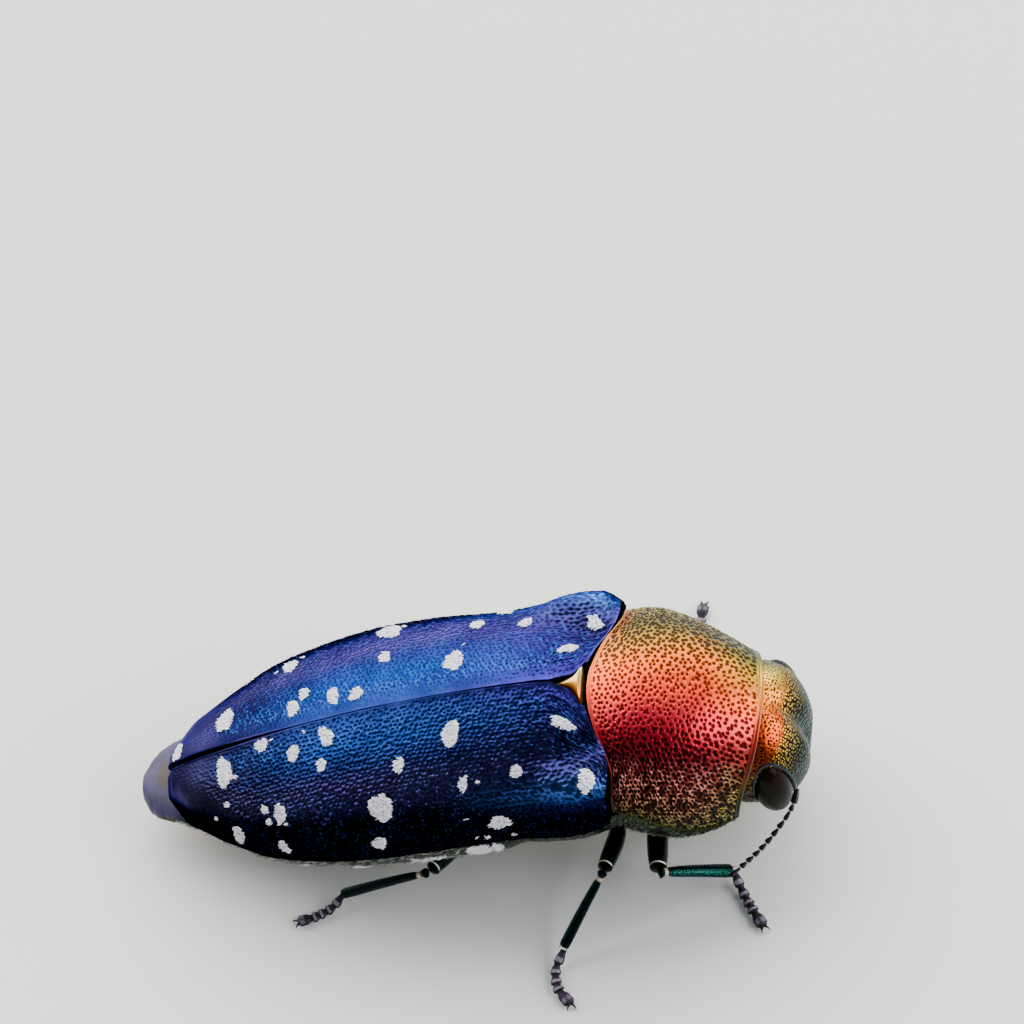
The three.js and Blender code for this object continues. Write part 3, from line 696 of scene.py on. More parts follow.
def closed(outer, values, columns=3, rise=0.0):
    """A patch whose rows are closed between their ends by a straight line of so many points, or by
    an arch over it: each row's rise times the height 2 sqrt(t (1 - t)) of a half circle."""
    t = np.linspace(0, 1, columns + 2)[1:-1]
    back = outer[:, -1:] + (outer[:, :1] - outer[:, -1:]) * t[:, None]
    back[..., 2] += np.reshape(rise, (-1, 1)) * np.sqrt(4 * t * (1 - t))
    pad = ((0, 0), (0, columns))
    values = {key: np.pad(grid, pad, mode="edge") for key, grid in values.items()}
    return np.concatenate([outer, back], 1), values


def recessed(rings, values):
    """The rows of a ring grid with two more after the last: the last row drawn in about its mean, and that
    row set back, both painted with the dark of the pits as painted shade in the recess."""
    middle = rings[-1:].mean(1, keepdims=True)
    inner = middle + (rings[-1:] - middle) * NECK_INSET
    rows = np.concatenate([rings, inner, inner - (NECK_DEPTH, 0, 0)])
    values = {key: np.pad(grid, ((0, 2), (0, 0)), mode="edge") for key, grid in values.items()}
    # The recess painted with the pits' dark: painted shade.
    values["pit"][-2:] = 1
    return rows, values


def pronotum():
    """Half ovals that grow and lean forward from base to front: y = w sin(a)^(2/n), the lift is
    cos(a)^(2/n), z = keel + rise lift, and x = keel + lean lift^k, k falling from base to front.
    On the flanks the base bends forward again before its hind corners, and inside the front rim
    the end is set back."""
    u = np.linspace(0, 1, 310)[:, None]
    a = np.linspace(-math.pi / 2, math.pi / 2, 316)[None, :]
    squareness = PRONOTUM_SQUARENESS + 0.35 * smoothstep(u, 0.2, 0.7)
    lift = np.cos(a) ** (2 / squareness)
    y = keel_half_width(u) * power(np.sin(a), 2 / squareness)
    x = keel_x(u) + (crown_x(u) - keel_x(u)) * lift ** (BASE_WAVE * (1 - u) + FRONT_WAVE * u)
    x = x + corner_bend(y) * (1 - u) ** 4
    z = keel_height(u) + (crown_height(u) - keel_height(u)) * lift
    patch = turned(grid_points(x, y, z))
    across = across_lengths(patch)
    from_keel = np.minimum(across, across[:, -1:] - across)
    middle = across - across[:, -1:] / 2
    along = np.broadcast_to(u * KEEL_LENGTH, across.shape)
    share = np.broadcast_to(a / (math.pi / 2), across.shape)
    flank = smoothstep(np.abs(share), 0.34, 0.72)
    from_front = KEEL_LENGTH - along
    rim = 0.7 * bump(along, 0.03, 0.025) + bump(from_front, 0.02, 0.022)
    rim = np.clip(rim + 0.8 * bump(from_front, 0.095, 0.014) + 0.8 * bump(from_keel, 0.02, 0.02), 0, 1)
    groove = bump(along, 0.09, 0.03) + bump(from_front, 0.06, 0.016) + bump(from_keel, 0.08, 0.03)
    spread = smoothstep(np.abs(share + 0.06), 0.1, 0.36)
    gap, to_wall, fate = nearest_pit(along, middle, PRONOTUM_PIT_PITCH, 7, 0.32)
    pit = dimple(gap, 0.042 + 0.01 * fate + 0.017 * spread + 0.012 * flank, 0.5)
    open_part = smoothstep(along, 0.07, 0.16) * smoothstep(from_front, 0.09, 0.16)
    open_part = open_part * smoothstep(from_keel, 0.04, 0.1)
    pit = pit * open_part
    broken = smoothstep(undulation(along, middle, 0.1, 10), -0.45, 0.35)
    grain = (1 - smoothstep(to_wall, 0.008, 0.05)) * broken * flank * open_part
    height = 0.012 * rim - 0.014 * np.clip(groove, 0, 1) - (0.014 + 0.016 * flank) * pit + 0.012 * grain
    height = height + 0.02 * undulation(along, middle, 1.1, 9) * (1 - rim)
    values = {"pit": pit, "grain": grain, "rim": rim, "share": share}
    values["along"] = np.broadcast_to(u, share.shape)
    # recessed() paints the set-back end dark with the pits: painted shade.
    return recessed(*closed(raised(patch, height), values))


def pronotum_finish():
    """Interference colours in bands along the body: crimson on the top, then orange, gold and green down to
    the keels and towards the front corners; the bands sit towards the right side, which is painted dark
    maroon-brown as painted shade. The pits are painted dark red-brown on the top and nearly black to the
    sides, as painted shade in them, and on the flanks the walls between them are painted light pink and gold
    as painted glints."""
    finish = Finish("pronotum_copper_red", 0.36, 1.0)
    share, along = finish.value("share"), finish.value("along")
    across = finish.map(share, -1, 1)
    # The bands are centred right of the middle line, and the right side is painted dark maroon-brown: painted
    # shade.
    bands = finish.ramp(
        across, (0.0, "25290c"), (0.1, "331e0c"), (0.18, "542420"), (0.27, "6c2430"), (0.34, "9d2537"),
        (0.41, "cc3444"), (0.48, "d0442a"), (0.55, "ca5e18"), (0.62, "9a6c22"), (0.7, "625a26"),
        (0.78, "534c2c"), (0.9, "373e22"), (1.0, "253014"),
    )
    front = finish.ramp(
        across, (0.0, "1b250c"), (0.1, "293010"), (0.22, "613725"), (0.32, "c04c48"), (0.41, "d2533e"),
        (0.48, "d87824"), (0.55, "ccac30"), (0.62, "80802c"), (0.7, "575f33"), (0.85, "414f33"),
        (1.0, "303e29"),
    )
    body = finish.mix(finish.map(along, 0.7, 0.97), bands, front)
    warm = finish.ramp(across, (0.36, "000000"), (0.5, "ffffff"))
    hind_edge = finish.mix(finish.map(along, 0.2, 0.04, 0, 0.4), "000000", warm)
    body = finish.mix(hind_edge, body, "f0803c")
    blotches = finish.ramp(finish.noise(1.8, 3.0), (0.36, "ffa050"), (0.6, "ff4f8c"))
    body = finish.mix(finish.map(share, -0.1, 0.3, 0.35, 0.05), body, blotches, "OVERLAY")
    body = finish.cover(body, "rim", 0.3, 0.9, 0.7, "3e523c")
    # Pits and the set-back front end painted dark red-brown to black: painted shade.
    hollow = finish.ramp(
        across, (0.0, "090703"), (0.28, "100103"), (0.4, "3e060c"), (0.48, "4e100c"),
        (0.54, "381006"), (0.6, "120702"), (1.0, "070704"),
    )
    body = finish.cover(body, "pit", 0.05, 0.5, 0.92, hollow)
    # Walls between the pits on the flanks painted light pink and gold: painted glints.
    walls = finish.ramp(
        across, (0.0, "6c763e"), (0.1, "a06a50"), (0.2, "cc7c70"), (0.3, "dc7474"), (0.4, "d64c4f"),
        (0.64, "bd9353"), (0.8, "9a8b5a"), (1.0, "5e6f37"),
    )
    walls = finish.mix(finish.map(along, 0.75, 1.0, 0, 0.8), walls, "a19341")
    body = finish.cover(body, "grain", 0.1, 0.7, 0.85, walls)
    finish.relief(finish.noise(30, 1.0), 0.003, 0.5)
    return finish.paint(body)


shield_plate = joined_rings("pronotum_plate", [pronotum()])
dress(shield_plate, pronotum_finish(), "pronotum_copper", "pronotum")


# ------------------------------------------------------------------ head
# A blunt box set deep into the prothorax, hard and grained all over. A furrow parts two swellings
# of the forehead, the large eyes take up the sides inside thin rims, and each antenna stands in a
# socket at the mouth's corner.

HEAD_CENTRE = np.array([3.55, 0.0, 2.25])
FACE_REACH = 1.28
NAPE_REACH = 0.9
HEAD_HALF_WIDTH = 1.66
HEAD_HALF_HEIGHT = 1.6
CHIN_TAPER = 0.2
HEAD_PIT_PITCH = 0.11
FACE_GRAIN_PITCH = 0.086
SOCKET_RADIUS = 0.13
EYE_CENTRE = np.array([4.02, 1.32, 2.08])
EYE_RADII = np.array([0.46, 0.47, 0.96])
ANTENNA_ROUTES = {
    "right": [(4.48, -1.0, 1.3), (4.3, -1.5, 1.1), (3.68, -2.3, 0.86), (2.9, -3.1, 0.84)],
    "left": [(4.5, 0.7, 1.3), (4.3, 1.2, 1.0), (3.66, 1.8, 0.8), (2.95, 2.3, 0.72)],
}


def head():
    """A sphere's points p moved by signed powers of their coordinates, with the furrow and the
    two swellings of the forehead. Rows run from the right side to the left, and columns round the
    side-to-side axis, closest together over the face."""
    latitude = np.linspace(-1, 1, 250)[:, None] * math.radians(86)
    turn = np.linspace(0, 1, 330, endpoint=False)[None, :]
    round_angle = 2 * math.pi * turn - 0.55 * np.sin(2 * math.pi * turn)
    px = np.cos(latitude) * np.cos(round_angle)
    py = np.sin(latitude) * np.ones_like(round_angle)
    pz = np.cos(latitude) * np.sin(round_angle)
    front, low = np.maximum(px, 0), np.maximum(-pz, 0)
    y = HEAD_HALF_WIDTH * power(py, 0.86) * (1 - CHIN_TAPER * low**2)
    z = HEAD_HALF_HEIGHT * power(pz, 0.9)
    furrow = 0.2 * bump(y, 0, 0.3) * front * smoothstep(pz, -0.55, -0.1)
    lobes = 0.1 * bump(np.abs(y), 0.62, 0.42) * bump(z, 0.2, 0.7) * front
    x = np.where(px > 0, FACE_REACH, NAPE_REACH) * power(px, 0.72) - furrow + lobes
    x = x - 0.1 * power(pz, 0.9) * front
    patch = np.stack([x, y, z], -1) + HEAD_CENTRE
    axis = np.array([0.88, 0.0, 0.47])
    over = np.array([-0.47, 0.0, 0.88])
    sphere = np.stack([px, py, pz], -1)
    spread = np.sqrt(2 / (1.02 + np.clip(sphere @ axis, -1, 1))) * 1.5
    s, t = (sphere @ over) * spread, py * spread
    over_place = sphere @ over
    nape = smoothstep(over_place, 0.26, 0.42)
    gap, _, fate = nearest_pit(s, t, HEAD_PIT_PITCH, 13, 0.3)
    pit = dimple(gap, 0.028 + 0.01 * fate, 0.5) * nape
    gap, _, luck = nearest_pit(s, t, FACE_GRAIN_PITCH, 14, 0.3)
    grain = dimple(gap, 0.024 + 0.012 * luck, 0.7) * (1 - nape)
    left_half = np.stack([patch[..., 0], np.abs(y), patch[..., 2]], -1)
    eye_gap = np.linalg.norm((left_half - EYE_CENTRE) / EYE_RADII, axis=-1)
    eye_rim = bump(eye_gap, 1.14, 0.035)
    sockets = 0.0
    for route in ANTENNA_ROUTES.values():
        sockets = sockets + np.exp(-np.sum((patch - np.array(route[0])) ** 2, -1) / SOCKET_RADIUS**2)
    bare = 1 - np.clip(eye_rim * 1.4, 0, 1)
    pit, grain = pit * bare, grain * bare
    height = 0.02 * eye_rim - 0.014 * pit + 0.018 * grain
    height = height - 0.14 * (1 - smoothstep(eye_gap, 0.95, 1.12)) - 0.14 * sockets
    height = height + 0.02 * undulation(s + 9, t + 9, 0.5, 19)
    closed_patch = np.concatenate([patch, patch[:, :1]], 1)
    rings = raised(closed_patch, np.concatenate([height, height[:, :1]], 1))[:, :-1]
    values = {"pit": pit, "grain": grain, "rim": eye_rim, "nape": nape, "over": over_place}
    return turned(rings), {**values, "side": py, "down": low}


def head_finish():
    """Orange at the back of the crown with fine pits painted dark as painted shade in them; over the face a
    black-brown net with round grains, orange-gold behind, then olive, and grey-green in front, darker olive
    on the right side as painted shade; painted dark green below as painted shade, and blue-grey rims round
    the eyes."""
    finish = Finish("head_golden_green", 0.34, 1.0)
    over, side = finish.value("over"), finish.value("side")
    crown = finish.ramp(
        finish.map(side, -1, 1), (0.0, "332c14"), (0.14, "7a3014"), (0.28, "d24c14"), (0.45, "df651b"),
        (0.6, "df8f2c"), (0.72, "d2af45"), (0.85, "616f37"), (1.0, "33401b"),
    )
    from_face = finish.map(over, -0.3, 0.5)
    net = finish.ramp(from_face, (0.0, "080c06"), (0.5, "140e06"), (0.8, "2c1808"), (1.0, "844114"))
    grains = finish.ramp(
        from_face, (0.0, "486058"), (0.14, "465236"), (0.32, "7c6e36"), (0.55, "c0963c"), (0.8, "f0b440"),
        (1.0, "e08c30"),
    )
    # Grains darker olive on the right side: painted shade.
    grains = finish.mix(finish.map(side, -0.5, -1.0, 0, 0.7), grains, "41481e")
    face = finish.cover(net, "grain", 0.1, 0.6, 1, grains)
    # Crown pits painted near black: painted shade in them.
    crown = finish.cover(crown, "pit", 0.05, 0.5, 0.95, "090402")
    body = finish.mix(finish.value("nape"), face, crown)
    # The lower part painted dark green: painted shade.
    body = finish.cover(body, "down", 0.3, 0.8, 1, "091e17")
    body = finish.cover(body, "rim", 0.3, 0.9, 0.8, "2c3a4f")
    finish.relief(finish.noise(30, 1.0), 0.003, 0.5)
    return finish.paint(body)


skull = joined_rings("head_capsule", [head()])
dress(skull, head_finish(), "head_copper", "head")


# ------------------------------------------------------------------ eyes
# Two long oval compound eyes, glossy olive-brown domes of some thousands of six-sided facets,
# let into the sides of the head.

def eye(side):
    """An ellipsoid round the side-to-side axis, with a low dome on each facet of a triangular
    lattice laid over the outer side."""
    latitude = np.linspace(-1, 1, 150)[:, None] * math.radians(89)
    angle = np.linspace(0, 2 * math.pi, 190, endpoint=False)[None, :]
    sphere = grid_points(
        np.cos(latitude) * np.cos(angle), np.sin(latitude), np.cos(latitude) * np.sin(angle)
    )
    spread = np.sqrt(2 / (1.05 + sphere[..., 1]))
    facet, _, _ = nearest_pit(sphere[..., 0] * spread * 0.46, sphere[..., 2] * spread * 0.96, 0.036, 3, 0.02)
    dome = 1 - smoothstep(facet, 0.004, 0.02)
    points = sphere * (EYE_RADII + (0.005 * dome)[..., None]) + EYE_CENTRE
    points = points * (1, side, 1)
    return turned(points), {"dome": dome, "upper": sphere[..., 2]}


def eye_finish():
    """Dark olive with brown in the facets' seams, maroon above, with a faint gloss."""
    finish = Finish("eye_olive_brown", 0.22, 0.0, 0.05)
    upper = finish.map(finish.value("upper"), -1, 1)
    body = finish.ramp(upper, (0.1, "0c0e04"), (0.55, "060602"), (0.85, "100101"))
    body = finish.mix(finish.map(finish.value("dome"), 0, 1, 0.5, 0), body, "181608")
    return finish.paint(body)


eye_brown = eye_finish()
for side_name, side in (("left", 1), ("right", -1)):
    ball = joined_rings(f"eye_ball_{side_name}", [eye(side)])
    dress(ball, eye_brown, "eye_brown", f"eye_{side_name}")


# ------------------------------------------------------------------ antennae
# Eleven-jointed feelers, laid back along the cheeks: a stout first joint, a small second, and
# then flattened saw-toothed beads, black, with pale rings of skin between them.

ANTENNA_ENDS = [0, 0.15, 0.215, 0.31, 0.395, 0.48, 0.562, 0.642, 0.72, 0.797, 0.87, 1.0]
ANTENNA_HALF = 0.06
ANTENNA_TOOTH = 0.028


def path_through(points, count):
    """A smooth path: each coordinate is a profile over the straight distance along the points."""
    points = np.array(points, float)
    distance = np.concatenate([[0], np.cumsum(np.linalg.norm(np.diff(points, axis=0), axis=1))])
    even = np.linspace(0, distance[-1], count)
    return np.stack([profile(*zip(distance, points[:, k]))(even) for k in range(3)], 1)


def tube(path, across_half, upper_half, sides, lower_half=None, tooth=None):
    """Oval rings square to a path. Each ring spans its half breadth to both sides, its upper half
    thickness above and its lower one below, and a tooth widens it to one side only."""
    lower_half = upper_half if lower_half is None else lower_half
    forward = unit(np.gradient(path, axis=0))
    sideways = unit(np.cross(forward, (0, 0, 1)))
    over = unit(np.cross(sideways, forward))
    angle = np.linspace(0, 2 * math.pi, sides, endpoint=False)[None, :]
    reach = np.cos(angle) * across_half[:, None]
    if tooth is not None:
        reach = reach + np.maximum(np.cos(angle), 0) ** 2 * tooth[:, None]
    rise = np.where(np.sin(angle) > 0, upper_half[:, None], lower_half[:, None]) * np.sin(angle)
    return path[:, None] + reach[..., None] * sideways[:, None] + rise[..., None] * over[:, None]


def joints_along(t, ends):
    """Which joint each share t of a limb's length falls in, and the share of that joint's length,
    from the places where the joints end."""
    ends = np.array(ends)
    joint = np.clip(np.searchsorted(ends, t, side="right") - 1, 0, len(ends) - 2)
    return joint, (t - ends[joint]) / (ends[joint + 1] - ends[joint])


def antenna(route):
    """A tube whose radius swells along each joint and drops at its end, with a saw tooth on every
    joint from the fourth."""
    count = 260
    path = turned(path_through(route, count))
    place = np.linspace(0, 1, count)
    joint, inside = joints_along(place, ANTENNA_ENDS)
    swell = 0.62 + 0.38 * smoothstep(inside, 0.0, 0.6) - 0.45 * smoothstep(inside, 0.82, 1.0)
    stout = 1 + 0.45 * (joint == 0) + 0.1 * (joint == 1) - 0.2 * smoothstep(place, 0.85, 1.0)
    end = np.sqrt(np.clip((1 - place) / 0.02, 0.02, 1))
    half = ANTENNA_HALF * swell * stout * end
    saw = smoothstep(inside, 0.15, 0.8) * (1 - smoothstep(inside, 0.86, 1.0))
    rings = tube(path, half, half * 0.72, 22, tooth=ANTENNA_TOOTH * (joint > 2) * saw * end)
    pale = bump(inside, 0.0, 0.1) + bump(inside, 1.0, 0.06)
    return rings, {"pale": np.clip(pale, 0, 1)[:, None] * np.ones(22)}


def antenna_finish():
    """Black chitin with a slight shine, grained, and pale blue-grey at the joints."""
    finish = Finish("antenna_black", 0.38, 0.3)
    black = finish.ramp(finish.noise(9), (0.3, "08070a"), (0.7, "1c1a22"))
    body = finish.mix(finish.map(finish.value("pale"), 0.25, 0.9, 0, 0.85), black, "b9bcc4")
    finish.relief(finish.noise(24), 0.006, 0.6)
    return finish.paint(body)


antenna_black = antenna_finish()
for side_name, route in ANTENNA_ROUTES.items():
    feeler = joined_rings(f"antenna_beads_{side_name}", [antenna(route)])
    dress(feeler, antenna_black, "antenna_black", f"antenna_{side_name}")


# ------------------------------------------------------------------ mouth
# The upper lip, two curved jaws and a three-cornered chin plate, dark blue-black and hard, set
# in a ring under the face, with two pairs of short jointed palps.

def lump(centre, size, place=None, rows=40, around=48):
    """An ellipsoid round the lengthwise axis; place may move its unit sphere's points first."""
    latitude = np.linspace(-1, 1, rows)[:, None] * math.radians(88)
    angle = np.linspace(0, 2 * math.pi, around, endpoint=False)[None, :]
    sphere = grid_points(
        np.sin(latitude), np.cos(latitude) * np.cos(angle), np.cos(latitude) * np.sin(angle)
    )
    if place is not None:
        sphere = place(sphere)
    return sphere * size + centre


def lip_shape(p):
    """The front edge is notched in the middle, and the plate is thin."""
    x = p[..., 0] - 0.25 * bump(p[..., 1], 0, 0.3) * np.maximum(p[..., 0], 0)
    return np.stack([x, power(p[..., 1], 0.8), p[..., 2] * 0.8], -1)


def jaw_shape(side):
    """The jaw curves inwards and sharpens to its tip."""
    def place(p):
        forward = np.maximum(p[..., 0], 0)
        y = p[..., 1] * (1 - 0.6 * forward) - side * 0.75 * forward**2
        return np.stack([p[..., 0], y, p[..., 2] * (1 - 0.45 * forward)], -1)
    return place


def chin_shape(p):
    """Three-cornered: broad behind and pointed in front."""
    taper = 0.62 - 0.42 * p[..., 0]
    return np.stack([p[..., 0], power(p[..., 1], 0.8) * taper, p[..., 2]], -1)


PALP_HALF = 0.05


def palp(start, side, length):
    """Three short beads on a path that bends in under the mouth."""
    route = [start, (start[0] + 0.12, start[1] + side * 0.12, start[2] - 0.12),
             (start[0] + 0.12 + length, start[1] + side * 0.02, start[2] - 0.16)]
    place = np.linspace(0, 1, 60)
    inside = (place * 3) % 1
    bead = 0.6 + 0.4 * np.sin(math.pi * np.clip(inside, 0.05, 0.95))
    half = PALP_HALF * bead * np.sqrt(np.clip((1.001 - place) / 0.05, 0.02, 1))
    return turned(tube(path_through(route, 60), half, half, 14)), {"edge": np.zeros((60, 14))}


def mouth_finish():
    """Blue-black, polished on the edges, with a pale green-blue border on the chin plate."""
    finish = Finish("mouth_blue_black", 0.3, 0.6, 0.15)
    body = finish.ramp(finish.noise(3), (0.3, "050609"), (0.6, "0b0f20"), (0.8, "161e3c"))
    body = finish.cover(body, "edge", 0.55, 0.95, 0.75, "5f9c8a")
    finish.relief(finish.noise(22), 0.006, 0.6)
    return finish.paint(body)


mouth_black = mouth_finish()
MOUTH = {
    "labrum": ((4.42, 0, 1.02), (0.3, 0.55, 0.24), lip_shape),
    "mandible_left": ((4.02, 0.42, 0.82), (0.42, 0.28, 0.24), jaw_shape(1)),
    "mandible_right": ((4.02, -0.42, 0.82), (0.42, 0.28, 0.24), jaw_shape(-1)),
    "mentum": ((3.3, 0, 0.76), (0.34, 0.62, 0.2), chin_shape),
}
for node, (centre, size, shape) in MOUTH.items():
    rings = turned(lump(np.array(centre), np.array(size), shape))
    edge = np.abs(np.linspace(-1, 1, rings.shape[0]))[:, None] * np.ones(rings.shape[1])
    groups = [(rings, {"edge": edge if node == "mentum" else edge * 0})]
    if node == "mentum":
        groups += [palp((3.62, side * 0.5, 0.82), side, 0.2) for side in (1, -1)]
        groups += [palp((3.52, side * 0.22, 0.72), side, 0.12) for side in (1, -1)]
    piece = joined_rings(f"{node}_plate", groups)
    dress(piece, mouth_black, "mouth_black", node)


# ------------------------------------------------------------------ chest plate
# The underside of the prothorax, from keel to keel. Its middle is a golden tongue with coarse
# pits, parted from the sides by deep lines, that runs back between the hips; the sides are green
# and rough as a file, and the front rim is thick and pale.

CHEST_SQUARENESS = 2.5
CHEST_LENGTH = 3.2
CHEST_PIT_PITCH = 0.15
CHEST_GRAIN_PITCH = 0.13
EDGE_OVERHANG = 0.06
TONGUE_HALF = 0.46
TONGUE_TIP = -0.45
chest_x = profile((0, 0.1), (1, 2.9))
chest_height = profile((0, 0.98), (0.5, 0.8), (1, 0.76))


def tongue_edge(y, margin=0.0):
    """x of the round end of the chest plate's tongue at a distance y from the middle line, and of
    the plate's straight rear edge beside it."""
    half = TONGUE_HALF + margin
    arc = TONGUE_TIP + TONGUE_HALF - np.sqrt(np.clip(half**2 - y**2, 0, None))
    return np.where(np.abs(y) < half, arc, chest_x(0.0))


def chest():
    """Half ovals hung below the keels: the drop is cos(a)^(2/n). The rear edge follows the
    tongue's round end on the middle line, and inside the front rim the end is set back. Also the
    outer patch alone, for the fringe to stand on."""
    u = np.linspace(0, 1, 200)[:, None]
    a = np.linspace(-math.pi / 2, math.pi / 2, 320)[None, :]
    drop = np.cos(a) ** (2 / CHEST_SQUARENESS)
    y = (keel_half_width(u) - EDGE_OVERHANG) * power(np.sin(a), 2 / CHEST_SQUARENESS)
    edge = keel_height(u) + 0.01
    x = keel_x(u) + (chest_x(u) - keel_x(u)) * drop
    x = x + (tongue_edge(y) - chest_x(0.0)) * (1 - smoothstep(u, 0, 0.35)) * smoothstep(drop, 0.8, 0.95)
    x = x + corner_bend(y) * (1 - u) ** 4
    z = edge - (edge - chest_height(u)) * drop
    patch = turned(grid_points(x, y, z))
    across = across_lengths(patch)
    middle = across - across[:, -1:] / 2
    along = np.broadcast_to(u * CHEST_LENGTH, across.shape)
    from_front = CHEST_LENGTH - along
    tongue_side = TONGUE_HALF + 0.16 + 0.5 * smoothstep(u, 0.6, 1.0)
    tongue = 1 - smoothstep(np.abs(y), TONGUE_HALF + 0.02, tongue_side)
    line = bump(np.abs(y), TONGUE_HALF + 0.1, 0.05) * (1 - smoothstep(u, 0.6, 0.85))
    rim = bump(from_front, 0.07, 0.06)
    side = np.abs(np.broadcast_to(a / (math.pi / 2), across.shape))
    flank = smoothstep(side, 0.35, 0.6)
    clear = smoothstep(from_front, 0.12, 0.25)
    gap, _, fate = nearest_pit(along, middle, CHEST_PIT_PITCH, 23, 0.32)
    pit = dimple(gap, 0.05 + 0.02 * fate + 0.012 * flank, 0.6) * clear
    gap, _, luck = nearest_pit(along, middle, CHEST_GRAIN_PITCH, 24, 0.34)
    grain = dimple(gap, 0.045 + 0.02 * luck, 0.7) * smoothstep(luck, 0.2, 0.8) * flank * clear
    height = 0.02 * grain - 0.022 * pit - 0.1 * line + 0.03 * rim - 0.03 * bump(along, 0, 0.03)
    height = height + 0.02 * undulation(along, middle, 0.4, 25)
    gold = np.broadcast_to(tongue, across.shape)
    values = {"pit": pit, "grain": grain, "gold": gold, "pale": rim, "share": side}
    outer = raised(patch, height)
    # recessed() paints the set-back end dark with the pits: painted shade.
    return (*recessed(*closed(outer, values)), outer)


def underside_finish():
    """Gold along the middle, then yellow-green, green and blue-black to the sides, with bright
    grains on the flanks. The tail's bare end is dull lilac skin, rusty where the wing cases
    meet over it."""
    finish = Finish("underside_gold_green", 0.32, 1.0)
    tail, rust = finish.value("tail"), finish.value("rust")
    side = finish.ramp(
        finish.value("share"), (0.0, "cba132"), (0.16, "b69330"), (0.3, "617829"), (0.45, "174f2c"),
        (0.6, "072522"), (0.8, "061509"), (1.0, "091b0c"),
    )
    body = finish.mix(finish.value("gold"), side, "cd9f37")
    clouds = finish.ramp(finish.noise(1.5), (0.35, "7a8a7a"), (0.65, "ffffff"))
    body = finish.mix(0.4, body, clouds, "MULTIPLY")
    body = finish.cover(body, "pale", 0.3, 0.9, 0.7, "5c6c61")
    # Pits and the set-back front end painted near black: painted shade; the plates' seams darkened with them
    # are their dark joints.
    body = finish.cover(body, "pit", 0.08, 0.6, 0.93, "040403")
    body = finish.cover(body, "grain", 0.1, 0.6, 0.9, "375329")
    skin = finish.mix(rust, finish.ramp(finish.noise(3), (0.35, "241c44"), (0.65, "362c5a")), "382220")
    body = finish.mix(tail, body, skin)
    finish.paint(finish.map(tail, 0, 1, 1, 0), "Metallic")
    finish.paint(finish.map(tail, 0, 1, 0.32, 0.55), "Roughness")
    finish.relief(finish.noise(30, 1.0), 0.003, 0.5)
    return finish.paint(body)


gold_green = underside_finish()
rings, values, chest_patch = chest()
values["tail"] = values["rust"] = 0 * values["pit"]
chest_plate = joined_rings("chest_plate", [(rings, values)])
dress(chest_plate, gold_green, "underside_gold_green", "prosternum")


# ------------------------------------------------------------------ plates of the hind body
# The underside behind the prothorax: the breast plate with its cross of fine seams, the two hind
# hip plates, and four belly plates, of which the first is two grown together. Each overlaps the
# next a little. The last is rounded off as a tail that shows beyond the wing cases.

BREAST_LAP = 0.12
TAIL_TIP = -11.55
TAIL_DOME = 0.3
PLATE_LAP = 0.03
BELLY_SQUARENESS = 2.2
BELLY_PIT_PITCH = 0.11
BELLY_GRAIN_PITCH = 0.12
belly_depth = profile(
    (-11.55, 0.34), (-10.4, 0.72), (-9, 1.04), (-7, 1.48), (-4.6, 1.95), (-2.5, 2.12), (0, 2.34),
)


def curved_seam(middle, side):
    """A cross seam: x changes with the square of the distance from the middle line."""
    return lambda y: middle + (side - middle) * np.minimum(y / 2.6, 1) ** 2


def hip_rear(y):
    """Rear edge of the hind hip plates, which widen away from the middle line."""
    return -2.56 - 0.72 * smoothstep(y, 0, 0.75)


def breast_front(y):
    """Front edge of the breast plate, notched for the chest plate's tongue; beside the tongue its
    lip lies under the chest plate's rear edge."""
    return tongue_edge(y, 0.05) - 0.04 + BREAST_LAP * smoothstep(np.abs(y), 0.52, 0.62)


hip_front = curved_seam(-2.5, -2.62)
belly_seams = [curved_seam(-6.9, -6.6), curved_seam(-8.35, -8.05), curved_seam(-9.6, -9.3)]
BELLY_PLATES = {
    "metaventrite": (breast_front, hip_front, 150),
    "hind_coxa_left": (hip_front, hip_rear, 56),
    "hind_coxa_right": (hip_front, hip_rear, 56),
    "ventrite_1_2": (hip_rear, belly_seams[0], 230),
    "ventrite_3": (belly_seams[0], belly_seams[1], 90),
    "ventrite_4": (belly_seams[1], belly_seams[2], 80),
    "ventrite_5": (belly_seams[2], lambda y: TAIL_TIP + 0 * y, 120),
}


